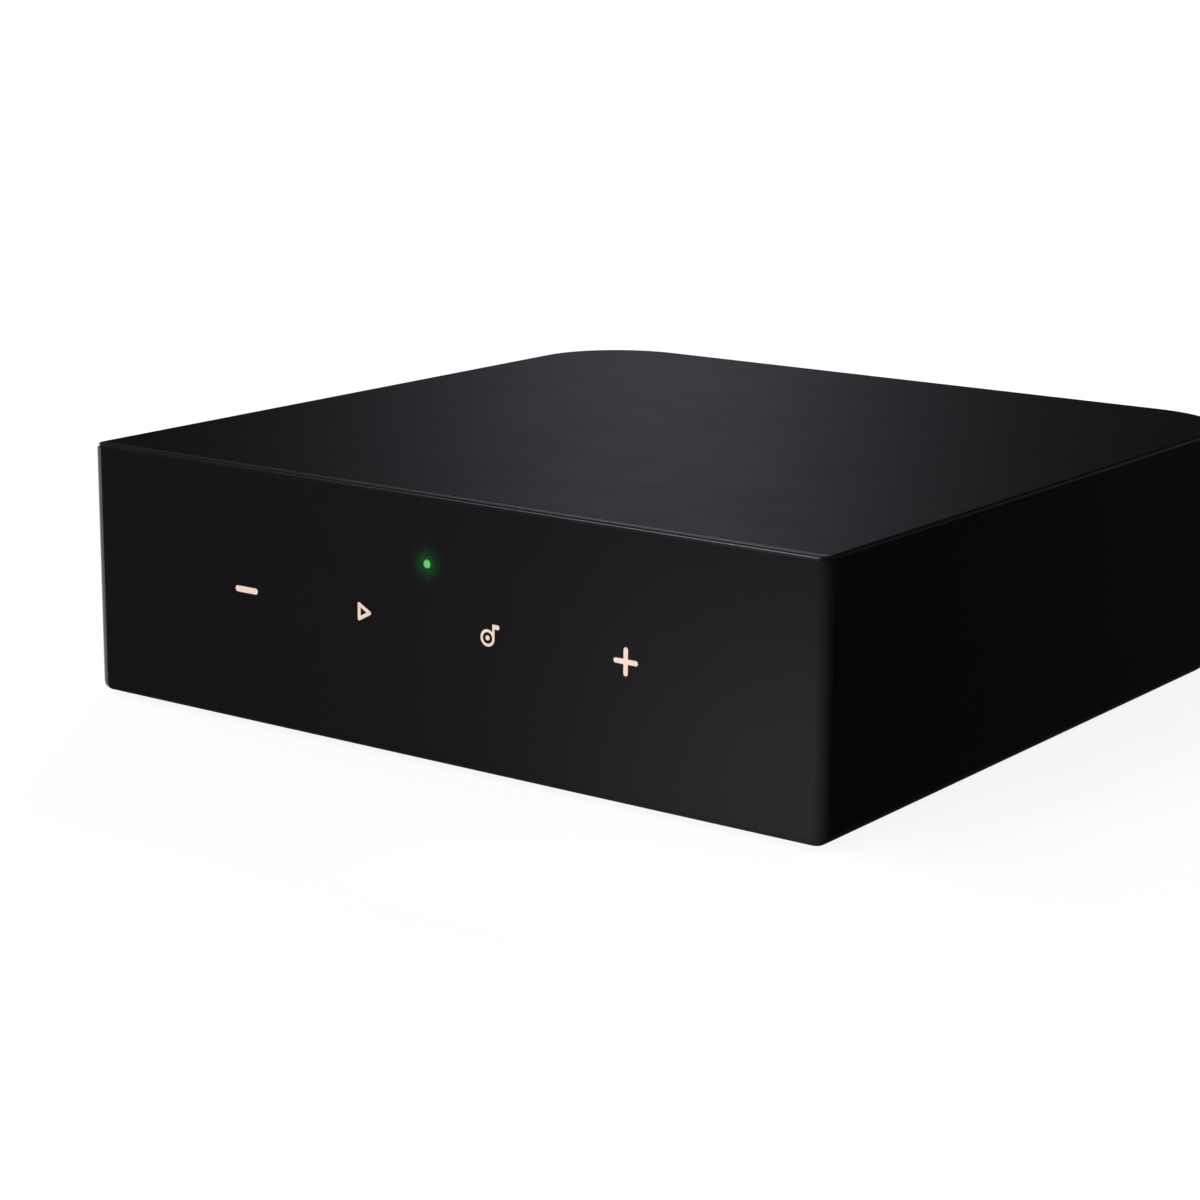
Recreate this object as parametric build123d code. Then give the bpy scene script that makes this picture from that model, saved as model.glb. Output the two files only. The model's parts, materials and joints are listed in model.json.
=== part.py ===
from build123d import *
import math
import os

# Compact network music streamer: a hooded plastic case with a flat touch front, a row of sockets at
# the back, and the boards, light guides, aerials and jacks inside it.
# Millimetres. +Z is up and the front face looks along -Y. The origin is the middle of the resting plane.

# Case
case_width = 140.0
case_depth = 140.0
headroom = 4.2
foot_standoff = 0.6
back_corner_radius = 18.0
front_edge_radius = 2.0
top_edge_radius = 0.8
bottom_edge_radius = 1.5
side_wall = 2.6
top_wall = 2.4
bottom_lip = 1.6
seam_gap = 0.15
fit_gap = 0.05
overrun = 1.0

# Front panel
panel_thickness = 2.0
skirt_thickness = 1.4
skirt_depth = 4.0
snap_width = 8.0
snap_length = 1.2
snap_reach = 0.7
snap_clearance = 0.2
snap_end_margin = 0.5
snap_side_height = 20.0
snap_pitch = 42.0

# Icons and status light on the front panel
icon_depth = 0.35
icon_height = 22.25
icon_pitch = 24.4
minus_length = 4.7
minus_stroke = 1.0
plus_length = 4.3
plus_stroke = 0.8
play_width = 3.0
play_height = 3.3
play_stroke = 0.6
play_corner_radius = 0.3
note_ring_diameter = 2.65
note_stroke = 0.45
note_dot_diameter = 0.8
note_drop = 0.35
note_side_shift = 0.7
note_stem_height = 2.2
note_flag_length = 1.35
note_flag_thickness = 0.75
status_height = 31.5
status_radius = 0.65
status_gap = 0.05

# Touch board, baffle and pads behind the front panel
baffle_side_gap = 11.85
baffle_floor_gap = 7.9
baffle_roof_gap = 2.35
baffle_thickness = 2.6
touch_board_inset = 2.0
touch_board_thickness = 1.2
touch_pad_outer_radius = 6.0
touch_pad_inner_radius = 3.4
touch_led_width = 1.6
touch_led_length = 0.8
touch_led_thickness = 0.6
touch_boss_radius = 2.2
touch_boss_side_margin = 3.0
touch_boss_end_margin = 3.1
touch_screw_radius = 0.9
touch_screw_head_radius = 1.7
touch_screw_head_height = 1.1
touch_screw_reach = 2.2
light_pipe_flange_radius = 1.1
light_pipe_flange_thickness = 0.6

# Base plate, feet and case screws
base_thickness = 2.2
foot_ring_inset = 14.0
foot_ring_corner_radius = 16.0
foot_ring_band = 7.0
foot_ring_thickness = 1.5
pillar_radius = 3.2
pillar_wall_gap = 4.8
pillar_front_inset = 17.0
pillar_back_inset = 34.0
pillar_rib_thickness = 1.4
case_screw_radius = 1.5
case_screw_head_radius = 2.7
case_screw_head_height = 1.3
case_screw_length = 9.0
screw_hole_gap = 0.2
screw_slot_depth = 0.5
screw_slot_width = 0.6

# Main board and its standoffs
board_side_gap = 9.4
board_front_gap = 4.4
board_back_gap = 0.2
board_thickness = 1.6
board_corner_radius = 8.0
standoff_height = 4.0
standoff_radius = 3.0
standoff_side_inset = 8.0
standoff_front_inset = 11.8
standoff_back_inset = 27.8
board_screw_radius = 1.5
board_screw_head_radius = 2.7
board_screw_head_height = 1.8
board_screw_length = 5.0

# Rear panel
rear_recess = 0.8
rear_panel_thickness = 1.8
rear_notch_side_gap = 2.1
rear_notch_roof_gap = 2.0
rear_notch_corner_radius = 3.0
rear_flange_reach = 1.3
rear_flange_band = 1.2
rear_flange_thickness = 1.4
port_gap = 1.6
jack_column_gap = 3.6
port_panel_gap = 0.2
port_window_gap = 0.25

# Phono jacks
phono_width = 10.0
phono_depth = 12.4
phono_axis_height = 6.6
phono_pitch = 14.0
phono_top_margin = 6.4
phono_collar_radius = 5.2
phono_barrel_radius = 4.15
phono_barrel_length = 8.3
phono_barrel_chamfer = 0.3
phono_root_radius = 3.9
phono_root_depth = 6.0
phono_barrel_bore = 3.25
phono_shoulder_gap = 0.2
phono_insert_recess = 0.5
phono_hole_radius = 1.65
phono_hole_length = 7.6
phono_contact_radius = 2.25
phono_contact_bore = 1.45
phono_contact_length = 9.0

# Optical jacks
optical_width = 9.7
optical_depth = 13.5
optical_floor = 0.8
optical_roof = 0.7
optical_mouth_width = 8.4
optical_mouth_height = 7.4
optical_cavity_depth = 10.6
optical_lintel = 0.5
optical_lens_radius = 1.5
optical_element_width = 7.0
optical_element_height = 7.0
optical_element_depth = 2.0
optical_key_cut = 1.1
flap_thickness = 0.8
flap_gap = 0.3
flap_knuckle_radius = 0.65
flap_pin_radius = 0.45
flap_pin_gap = 0.05
flap_pin_end_gap = 0.1
flap_ceiling_gap = 0.45
spring_width = 2.4
spring_thickness = 0.2
spring_foot = 1.6
spring_run = 6.0
spring_drop = 0.75

# Trigger jack
trigger_width = 7.0
trigger_height = 7.2
trigger_depth = 13.0
trigger_axis_height = 3.6
trigger_collar_radius = 2.9
trigger_bore_radius = 1.8
trigger_bore_length = 12.0

# Network socket
network_width = 16.2
network_height = 13.6
network_depth = 18.0
network_shield_wall = 0.3
network_lip = 1.2
network_mouth_width = 11.9
network_mouth_height = 6.9
network_floor = 1.3
network_latch_width = 6.4
network_latch_height = 1.5
network_key_width = 4.0
network_key_height = 1.4
network_mouth_depth = 12.6
network_contact_pitch = 1.02
network_contact_width = 0.36
network_contact_count = 8
network_contact_setback = 2.5
network_contact_flat = 2.4
network_contact_slope_run = 6.0
network_contact_slope_drop = 2.2
network_slot_gap = 0.05

# Power socket
power_width = 8.94
power_height = 3.16
power_length = 7.35
power_wall = 0.3
power_tongue_width = 6.7
power_tongue_thickness = 0.7
power_tongue_length = 4.6
power_base_length = 1.6
power_body_width = 9.0
power_window_gap = 0.35

# Parts on the main board
processor_size = 14.0
processor_height = 1.1
processor_x = -8.0
processor_y = -12.0
shield_width = 30.0
shield_depth = 26.0
shield_height = 2.4
shield_wall = 0.25
pad_width = 24.0
pad_depth = 20.0
pad_thickness = 0.8
processor_pad_width = 12.0
sink_width = 29.0
sink_depth = 25.0
sink_base = 1.6
sink_fin_height = 7.0
sink_fin_thickness = 1.0
sink_fin_count = 8
radio_width = 16.0
radio_depth = 13.0
radio_board_thickness = 0.8
radio_shield_height = 1.6
radio_shield_margin = 0.5
radio_plug_strip = 4.0
radio_x = 26.0
radio_front_inset = 25.8
capacitor_radius = 3.15
capacitor_height = 7.7
capacitor_pitch = 8.0
capacitor_count = 6
capacitor_side_inset = 15.0
capacitor_standoff_gap = 4.0
inductor_size = 6.0
inductor_height = 3.0
inductor_corner_radius = 1.2
inductor_pitch = 8.5
inductor_count = 3
inductor_side_inset = 12.0
inductor_standoff_gap = 16.0
transformer_width = 12.7
transformer_depth = 7.0
transformer_height = 6.0
transformer_gap = 4.0
chip_size = 7.0
chip_height = 1.0
chip_row_y = 22.0
chip_pitch = 12.0
chip_count = 4
chip_capacitor_gap = 16.0

# Flat cable between the touch board and the main board
cable_width = 6.0
cable_thickness = 0.2
cable_bend_radius = 1.2
cable_x = 30.0
connector_width = 8.0
connector_height = 1.2
connector_length = 3.6
touch_connector_rise = 5.0
board_connector_setback = 3.0

# Aerials and their leads
aerial_length = 36.0
aerial_height = 8.0
aerial_thickness = 0.3
aerial_middle_y = -8.0
aerial_middle_height = 24.0
lead_radius = 0.57
lead_gap = 0.05
lead_bend_radius = 4.0
lead_sweep_radius = 8.0
lead_wall_run = 13.48
lead_plug_radius = 1.2
lead_plug_height = 1.5
lead_plug_margin = 2.0

# Places worked out from the sizes above
half_width = case_width / 2
front_y = -case_depth / 2
back_y = case_depth / 2
body_bottom = foot_standoff
base_top = body_bottom + base_thickness
board_bottom = base_top + standoff_height
board_top = board_bottom + board_thickness
phono_low = board_top + phono_axis_height
phono_high = phono_low + phono_pitch
ceiling = phono_high + phono_top_margin + headroom
body_top = ceiling + top_wall
back_wall = rear_recess + rear_panel_thickness
panel_back = front_y + panel_thickness
shell_front = panel_back + seam_gap
inner_half = half_width - side_wall
inner_back = back_y - back_wall
touch_front = panel_back + baffle_thickness
touch_back = touch_front + touch_board_thickness
board_front = touch_back + board_front_gap
board_back = inner_back - rear_flange_thickness - board_back_gap
board_width = 2 * (inner_half - board_side_gap)
standoff_x = board_width / 2 - standoff_side_inset
standoff_front_y = board_front + standoff_front_inset
standoff_back_y = board_back - standoff_back_inset
pillar_x = inner_half - pillar_wall_gap
pillar_front_y = front_y + pillar_front_inset
pillar_back_y = back_y - pillar_back_inset
skirt_underside = ceiling - seam_gap - skirt_thickness
baffle_width = 2 * (inner_half - seam_gap - skirt_thickness - baffle_side_gap)
baffle_bottom = base_top + baffle_floor_gap
baffle_top = skirt_underside - baffle_roof_gap
touch_board_width = baffle_width - 2 * touch_board_inset
touch_boss_x = touch_board_width / 2 - touch_boss_side_margin
touch_connector_height = board_top + touch_connector_rise
foot_ring_width = case_width - 2 * foot_ring_inset
foot_ring_depth = case_depth - 2 * foot_ring_inset
capacitor_row_x = capacitor_side_inset - board_width / 2
capacitor_row_y = standoff_back_y - capacitor_standoff_gap
chip_row_x = capacitor_row_x + chip_capacitor_gap
inductor_row_x = board_width / 2 - inductor_side_inset
inductor_row_y = standoff_back_y - inductor_standoff_gap
radio_y = board_front + radio_front_inset
lead_wall_x = inner_half - aerial_thickness - lead_gap - lead_radius
lead_row_x = lead_wall_x - lead_wall_run
port_face = back_y - rear_recess
port_back_face = inner_back - port_panel_gap
phono_tip = port_face + phono_shoulder_gap + phono_barrel_length
hinge_rise = flap_knuckle_radius
pocket_rise = flap_knuckle_radius + flap_ceiling_gap
optical_height = optical_floor + optical_mouth_height + hinge_rise + pocket_rise + optical_roof
mouth_bottom = board_top + optical_floor
mouth_top = mouth_bottom + optical_mouth_height
hinge_z = mouth_top + hinge_rise
hinge_y = port_face - optical_lintel - flap_gap - flap_knuckle_radius
trigger_z = board_top + trigger_axis_height
power_z = board_top + power_height / 2
snap_y = panel_back + skirt_depth - snap_end_margin - snap_length

# Sockets from left to right as seen from the front: name, width and gap to the next one
port_row = [
    ("line_in", phono_width, jack_column_gap),
    ("line_out", phono_width, jack_column_gap),
    ("coax", phono_width, port_gap),
    ("optical_in", optical_width, port_gap),
    ("optical_out", optical_width, port_gap),
    ("trigger", trigger_width, port_gap),
    ("network", network_width, port_gap),
    ("power", power_body_width, 0),
]
port_row_width = sum(width + gap for _, width, gap in port_row)
rear_notch_width = port_row_width + 2 * rear_notch_side_gap
rear_notch_height = ceiling - body_bottom - rear_notch_roof_gap

# The rear corners are as round as the wall beside the rear panel's flange allows
corner_room = (case_width - rear_notch_width) / 2 - rear_flange_reach - seam_gap
corner_radius = min(back_corner_radius, corner_room)


def block(x0, x1, y0, y1, z0, z1):
    """Box between two opposite corners."""
    solid = Box(x1 - x0, y1 - y0, z1 - z0)
    return Pos((x0 + x1) / 2, (y0 + y1) / 2, (z0 + z1) / 2) * solid


def upright(radius, x, y, z0, z1):
    """Cylinder standing along Z."""
    return Pos(x, y, (z0 + z1) / 2) * Cylinder(radius, z1 - z0)


def lengthwise(radius, x, z, y0, y1):
    """Cylinder lying along Y."""
    return Pos(x, (y0 + y1) / 2, z) * Rot(90, 0, 0) * Cylinder(radius, y1 - y0)


def crosswise(radius, y, z, x0, x1):
    """Cylinder lying along X."""
    return Pos((x0 + x1) / 2, y, z) * Rot(0, 90, 0) * Cylinder(radius, x1 - x0)


def front_sketch(sketch, x, z, y, depth):
    """Sketch drawn as seen from the front, at (x, z), made solid from y back by depth."""
    return extrude(Plane((x, y, z), x_dir=(1, 0, 0), z_dir=(0, -1, 0)) * sketch, -depth)


def stadium(x, z, width, height, y0, y1):
    """Round-ended bar lying along Y, as wide as width and as tall as height."""
    return front_sketch(SlotOverall(width, height), x, z, y0, y1 - y0)


def case_block(side_inset, back_inset, front, z0, z1):
    """Block with the case's outline moved inwards, from front to the back."""
    half = half_width - side_inset
    solid = block(-half, half, front, back_y - back_inset, z0, z1)
    corners = solid.edges().filter_by(Axis.Z).group_by(Axis.Y)[-1]
    return fillet(corners, corner_radius - side_inset)


def envelope():
    """Outside shape of the whole case, without its feet and jacks."""
    solid = case_block(0, 0, front_y, body_bottom, body_top)
    front_edges = solid.edges().filter_by(Axis.Z).group_by(Axis.Y)[0]
    solid = fillet(front_edges, front_edge_radius)
    solid = fillet(solid.faces().sort_by(Axis.Z)[-1].edges(), top_edge_radius)
    return fillet(solid.faces().sort_by(Axis.Z)[0].edges(), bottom_edge_radius)


def pillar_places():
    """Middles of the four case screws."""
    return [(side * pillar_x, y) for side in (-1, 1) for y in (pillar_front_y, pillar_back_y)]


def standoff_places():
    """Middles of the four board screws."""
    return [
        (side * standoff_x, y) for side in (-1, 1) for y in (standoff_front_y, standoff_back_y)
    ]


def touch_screw_places():
    """Middles of the four touch board screws, as x and z."""
    heights = (baffle_bottom + touch_boss_end_margin, baffle_top - touch_boss_end_margin)
    return [(side * touch_boss_x, z) for side in (-1, 1) for z in heights]


def port_centres():
    """Middle of each socket along X, worked out from the sockets' widths and the gaps between them."""
    x = -port_row_width / 2
    centres = {}
    for name, width, gap in port_row:
        centres[name] = x + width / 2
        x += width + gap
    return centres


port_x = port_centres()
phono_jacks = {
    "line_in_left": (port_x["line_in"], phono_high),
    "line_in_right": (port_x["line_in"], phono_low),
    "line_out_left": (port_x["line_out"], phono_high),
    "line_out_right": (port_x["line_out"], phono_low),
    "coax": (port_x["coax"], phono_low),
}


def snaps(clearance):
    """Snap lugs on the front panel's skirt, or the pockets for them when grown by a clearance."""
    reach = inner_half + snap_reach - seam_gap + clearance
    top = ceiling + snap_reach - seam_gap + clearance
    front = snap_y - clearance
    back = snap_y + snap_length + clearance
    half = snap_width / 2 + clearance
    solids = []
    for x in (-snap_pitch, 0, snap_pitch):
        solids.append(block(x - half, x + half, front, back, ceiling - skirt_thickness, top))
    low = snap_side_height - half
    high = snap_side_height + half
    inner = inner_half - skirt_thickness
    solids.append(block(-reach, -inner, front, back, low, high))
    solids.append(block(inner, reach, front, back, low, high))
    return solids


def notch(gap, y0, y1, reach=0):
    """Arched block through the back wall, as large as the rear panel's notch less a gap all round."""
    half = rear_notch_width / 2 - gap + reach
    top = body_bottom + rear_notch_height - gap + reach
    solid = block(-half, half, y0, y1, body_bottom - overrun, top)
    corners = solid.edges().filter_by(Axis.Y).group_by(Axis.Z)[-1]
    return fillet(corners, rear_notch_corner_radius - gap + reach)


def case_shell():
    shell = envelope() & block(
        -half_width - overrun, half_width + overrun, shell_front, back_y + overrun, 0, body_top + overrun
    )
    shell -= case_block(side_wall, back_wall, shell_front - overrun, 0, ceiling)
    shell -= case_block(bottom_lip, bottom_lip, shell_front - overrun, 0, base_top + fit_gap)
    shell -= notch(0, inner_back - overrun, back_y + overrun)
    for x, y in pillar_places():
        side = math.copysign(1, x)
        shell += upright(pillar_radius, x, y, base_top + fit_gap, ceiling + top_wall / 2)
        rib = sorted((x, side * (inner_half + side_wall / 2)))
        half = pillar_rib_thickness / 2
        shell += block(rib[0], rib[1], y - half, y + half, base_top + fit_gap, ceiling)
        pilot_top = body_bottom + case_screw_head_height + case_screw_length + fit_gap
        shell -= upright(case_screw_radius + fit_gap, x, y, body_bottom, pilot_top)
    for pocket in snaps(snap_clearance):
        shell -= pocket
    return shell


def icon_shapes():
    """Outline of each touch icon, with the place of its middle along X and Z."""
    minus = SlotOverall(minus_length, minus_stroke)
    plus = SlotOverall(plus_length, plus_stroke) + Rot(0, 0, 90) * SlotOverall(plus_length, plus_stroke)
    outer = Polygon(
        (-play_width / 2, -play_height / 2),
        (play_width / 2, 0),
        (-play_width / 2, play_height / 2),
        align=None,
    )
    outer = fillet(outer.vertices(), play_corner_radius)
    play = outer - offset(outer, -play_stroke, kind=Kind.INTERSECTION)
    ring_radius = note_ring_diameter / 2
    stem_x = ring_radius - note_stroke / 2
    ring = Circle(ring_radius) - Circle(ring_radius - note_stroke)
    stem = Pos(stem_x, note_stem_height / 2) * Rectangle(note_stroke, note_stem_height)
    flag_z = note_stem_height - note_flag_thickness / 2
    flag_x = stem_x - note_stroke / 2 + note_flag_length / 2
    flag = Pos(flag_x, flag_z) * RectangleRounded(
        note_flag_length, note_flag_thickness, note_flag_thickness / 2 - fit_gap
    )
    head = Circle(ring_radius)
    note = ring + (stem - head) + flag + Circle(note_dot_diameter / 2)
    return {
        "minus_icon": (minus, -3 * icon_pitch / 2, icon_height),
        "play_icon": (play, -icon_pitch / 2, icon_height),
        "note_icon": (note, icon_pitch / 2 - note_side_shift, icon_height - note_drop),
        "plus_icon": (plus, 3 * icon_pitch / 2, icon_height),
    }


def icon(name):
    shape, x, z = icon_shapes()[name]
    return front_sketch(shape, x, z, front_y, icon_depth)


def front_panel():
    panel = envelope() & block(
        -half_width - overrun, half_width + overrun, front_y - overrun, panel_back, 0, body_top + overrun
    )
    outer_half = inner_half - seam_gap
    outer_top = ceiling - seam_gap
    inner = outer_half - skirt_thickness
    skirt_back = panel_back + skirt_depth
    skirt = block(-outer_half, outer_half, panel_back, skirt_back, base_top + seam_gap, outer_top)
    skirt -= block(
        -inner, inner, panel_back - overrun, skirt_back + overrun, 0, outer_top - skirt_thickness
    )
    panel += skirt
    for lug in snaps(0):
        panel += lug
    for x, z in touch_screw_places():
        panel += lengthwise(touch_boss_radius, x, z, panel_back, touch_front)
        pilot_front = touch_front - touch_screw_reach - fit_gap
        panel -= lengthwise(touch_screw_radius + fit_gap, x, z, pilot_front, touch_front)
    for name in icon_shapes():
        panel -= icon(name)
    panel -= lengthwise(status_radius + status_gap, 0, status_height, front_y - overrun, panel_back)
    return panel


def status_light_pipe():
    pipe = lengthwise(status_radius, 0, status_height, front_y, panel_back)
    flange_back = panel_back + light_pipe_flange_thickness
    return pipe + lengthwise(light_pipe_flange_radius, 0, status_height, panel_back, flange_back)


def icon_places():
    """Middle of each icon along X."""
    return [(step - 3 / 2) * icon_pitch for step in range(4)]


def light_baffle():
    half = baffle_width / 2
    baffle = block(-half, half, panel_back, touch_front, baffle_bottom, baffle_top)
    for x in icon_places():
        baffle -= lengthwise(
            touch_pad_outer_radius + fit_gap, x, icon_height, panel_back - overrun, touch_front + overrun
        )
    for x, z in touch_screw_places():
        baffle -= lengthwise(touch_boss_radius + fit_gap, x, z, panel_back - overrun, touch_front + overrun)
    baffle -= lengthwise(
        light_pipe_flange_radius + fit_gap, 0, status_height, panel_back - overrun, touch_front + overrun
    )
    return baffle


def touch_pads():
    pads = []
    for x in icon_places():
        pad = lengthwise(touch_pad_outer_radius, x, icon_height, panel_back, touch_front)
        pad -= lengthwise(
            touch_pad_inner_radius, x, icon_height, panel_back - overrun, touch_front + overrun
        )
        pads.append(pad)
    return Compound(pads)


def touch_board():
    half = touch_board_width / 2
    board = block(-half, half, touch_front, touch_back, baffle_bottom, baffle_top)
    for x, z in touch_screw_places():
        board -= lengthwise(
            touch_screw_radius + screw_hole_gap, x, z, touch_front - overrun, touch_back + overrun
        )
    return board


def indicator_leds():
    leds = []
    places = [(x, icon_height) for x in icon_places()] + [(0, status_height)]
    for x, z in places:
        half = touch_led_width / 2
        rise = touch_led_length / 2
        front = touch_front - touch_led_thickness
        leds.append(block(x - half, x + half, front, touch_front, z - rise, z + rise))
    return Compound(leds)


def cross_recess(x, y, z, radius):
    """Cross-shaped driver recess, standing on z."""
    bars = Rectangle(radius, screw_slot_width) + Rectangle(screw_slot_width, radius)
    return Pos(x, y, z) * extrude(bars, screw_slot_depth + overrun)


def touch_board_screws():
    screws = []
    for x, z in touch_screw_places():
        screw = lengthwise(touch_screw_radius, x, z, touch_front - touch_screw_reach, touch_back)
        head_back = touch_back + touch_screw_head_height
        screw += lengthwise(touch_screw_head_radius, x, z, touch_back, head_back)
        recess = Rectangle(touch_screw_head_radius, screw_slot_width)
        recess += Rectangle(screw_slot_width, touch_screw_head_radius)
        screw -= front_sketch(recess, x, z, head_back - screw_slot_depth, screw_slot_depth + overrun)
        screws.append(screw)
    return Compound(screws)


def ring_block(grow, z0, z1):
    """Rounded square band of the foot, grown by a clearance."""
    outer = RectangleRounded(
        foot_ring_width + 2 * grow, foot_ring_depth + 2 * grow, foot_ring_corner_radius + grow
    )
    inner_width = foot_ring_width - 2 * foot_ring_band - 2 * grow
    inner_depth = foot_ring_depth - 2 * foot_ring_band - 2 * grow
    inner = RectangleRounded(inner_width, inner_depth, foot_ring_corner_radius - foot_ring_band - grow)
    return Pos(0, 0, z0) * extrude(outer - inner, z1 - z0)


def foot_ring():
    return ring_block(0, 0, foot_ring_thickness)


def base_plate():
    inset = bottom_lip + seam_gap
    plate = case_block(inset, inset, panel_back + seam_gap, body_bottom, base_top)
    half = rear_notch_width / 2 + seam_gap
    plate -= block(-half, half, inner_back - seam_gap, back_y, body_bottom - overrun, base_top + overrun)
    for x, y in standoff_places():
        plate += upright(standoff_radius, x, y, base_top - base_thickness / 2, board_bottom)
        pilot_bottom = board_top - board_screw_length - fit_gap
        plate -= upright(board_screw_radius + fit_gap, x, y, pilot_bottom, board_bottom + overrun)
    for x, y in pillar_places():
        seat = body_bottom + case_screw_head_height
        plate -= upright(case_screw_head_radius + screw_hole_gap, x, y, body_bottom - overrun, seat)
        plate -= upright(case_screw_radius + screw_hole_gap, x, y, body_bottom, base_top + overrun)
    return plate - ring_block(fit_gap, body_bottom - overrun, foot_ring_thickness)


def base_screws():
    screws = []
    for x, y in pillar_places():
        seat = body_bottom + case_screw_head_height
        screw = upright(case_screw_head_radius, x, y, body_bottom, seat)
        screw += upright(case_screw_radius, x, y, seat, seat + case_screw_length)
        screw -= cross_recess(x, y, body_bottom - overrun, case_screw_head_radius)
        screws.append(screw)
    return Compound(screws)


def main_board():
    half = board_width / 2
    board = block(-half, half, board_front, board_back, board_bottom, board_top)
    board = fillet(board.edges().filter_by(Axis.Z).group_by(Axis.Y)[-1], board_corner_radius)
    radius = board_screw_radius + screw_hole_gap
    for x, y in standoff_places():
        board -= upright(radius, x, y, board_bottom - overrun, board_top + overrun)
    return board


def board_screws():
    screws = []
    for x, y in standoff_places():
        head_top = board_top + board_screw_head_height
        screw = upright(board_screw_head_radius, x, y, board_top, head_top)
        screw += upright(board_screw_radius, x, y, board_top - board_screw_length, board_top)
        screw -= cross_recess(x, y, head_top - screw_slot_depth, board_screw_head_radius)
        screws.append(screw)
    return Compound(screws)


def rear_panel():
    plate = notch(seam_gap, inner_back, port_face) & envelope()
    flange_front = inner_back - rear_flange_thickness
    flange = notch(0, flange_front, inner_back, rear_flange_reach)
    flange -= notch(0, flange_front - overrun, inner_back + overrun, -rear_flange_band)
    far = half_width + overrun
    flange -= block(-far, far, flange_front - overrun, inner_back + overrun, -overrun, base_top + seam_gap)
    plate += flange
    through = (inner_back - overrun, port_face + overrun)
    for x, z in phono_jacks.values():
        plate -= lengthwise(phono_collar_radius + port_window_gap, x, z, *through)
    for name in ("optical_in", "optical_out"):
        plate -= port_window(port_x[name], optical_width, board_top, optical_height)
    plate -= port_window(port_x["network"], network_width, board_top, network_height)
    plate -= lengthwise(trigger_collar_radius + port_window_gap, port_x["trigger"], trigger_z, *through)
    slot_width = power_width + 2 * power_window_gap
    slot_height = power_height + 2 * power_window_gap
    plate -= stadium(port_x["power"], power_z, slot_width, slot_height, *through)
    return plate


def port_window(x, width, z, height):
    """Opening in the rear panel round a square-faced socket."""
    half = width / 2 + port_window_gap
    return block(
        x - half,
        x + half,
        inner_back - overrun,
        port_face + overrun,
        z - port_window_gap,
        z + height + port_window_gap,
    )


def phono_housing(column, axes):
    """Black block of one column of phono jacks, with a collar for each jack through the rear panel."""
    x = port_x[column]
    half = phono_width / 2
    top = max(axes) + phono_top_margin
    housing = block(x - half, x + half, port_back_face - phono_depth, port_back_face, board_top, top)
    for z in axes:
        housing += lengthwise(phono_collar_radius, x, z, port_back_face - port_panel_gap, port_face)
    for z in axes:
        root_end = port_face - phono_root_depth
        contact_end = port_face + phono_shoulder_gap - phono_contact_length
        housing -= lengthwise(phono_root_radius + fit_gap, x, z, root_end, port_face + overrun)
        housing -= lengthwise(phono_contact_radius + fit_gap, x, z, contact_end, port_face)
    return housing


def phono_barrel(x, z):
    """Plated outer contact of one phono jack."""
    shoulder = port_face + phono_shoulder_gap
    sleeve = lengthwise(phono_barrel_radius, x, z, shoulder, phono_tip)
    tip_edges = sleeve.edges().filter_by(GeomType.CIRCLE).group_by(Axis.Y)[-1]
    sleeve = chamfer(tip_edges, phono_barrel_chamfer)
    root_end = port_face - phono_root_depth + fit_gap
    sleeve += lengthwise(phono_root_radius, x, z, root_end, shoulder)
    return sleeve - lengthwise(phono_barrel_bore, x, z, root_end - overrun, phono_tip + overrun)


def phono_insert(x, z):
    """Coloured plastic core of one phono jack, with the hole for the plug's pin."""
    root_end = port_face - phono_root_depth + fit_gap
    face = phono_tip - phono_insert_recess
    insert = lengthwise(phono_barrel_bore - fit_gap, x, z, root_end, face)
    hole_end = face - phono_hole_length
    insert -= lengthwise(phono_hole_radius, x, z, hole_end, face + overrun)
    return insert - lengthwise(phono_contact_radius + fit_gap, x, z, root_end - overrun, hole_end)


def phono_contact(x, z):
    """Gripping tube behind the hole of one phono jack."""
    front = phono_tip - phono_insert_recess - phono_hole_length - fit_gap
    back = port_face + phono_shoulder_gap - phono_contact_length + fit_gap
    contact = lengthwise(phono_contact_radius, x, z, back, front)
    floor = phono_contact_radius - phono_contact_bore
    return contact - lengthwise(phono_contact_bore, x, z, back + floor, front + overrun)


def optical_housing(x):
    """Square optical jack with a mouth for the plug and a pocket above it for the open shutter."""
    half = optical_width / 2
    inner = optical_mouth_width / 2
    back = port_face - optical_depth
    housing = block(x - half, x + half, back, port_face, board_top, board_top + optical_height)
    cavity_end = port_face - optical_cavity_depth
    mouth = block(x - inner, x + inner, cavity_end, port_face + overrun, mouth_bottom, mouth_top)
    lower_edges = mouth.edges().filter_by(Axis.Y).group_by(Axis.Z)[0]
    mouth = chamfer(lower_edges, optical_key_cut)
    pocket_front = port_face - optical_lintel
    housing -= mouth
    housing -= block(x - inner, x + inner, cavity_end, pocket_front, mouth_top, hinge_z + pocket_rise)
    pin_reach = half + overrun
    housing -= crosswise(flap_pin_radius + flap_pin_gap, hinge_y, hinge_z, x - pin_reach, x + pin_reach)
    middle = (mouth_bottom + mouth_top) / 2
    housing -= lengthwise(optical_lens_radius + fit_gap, x, middle, back, cavity_end + overrun)
    wide = optical_element_width / 2 + fit_gap
    tall = optical_element_height / 2 + fit_gap
    element_front = back + optical_element_depth + fit_gap
    housing -= block(x - wide, x + wide, back - overrun, element_front, middle - tall, middle + tall)
    return housing


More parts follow.
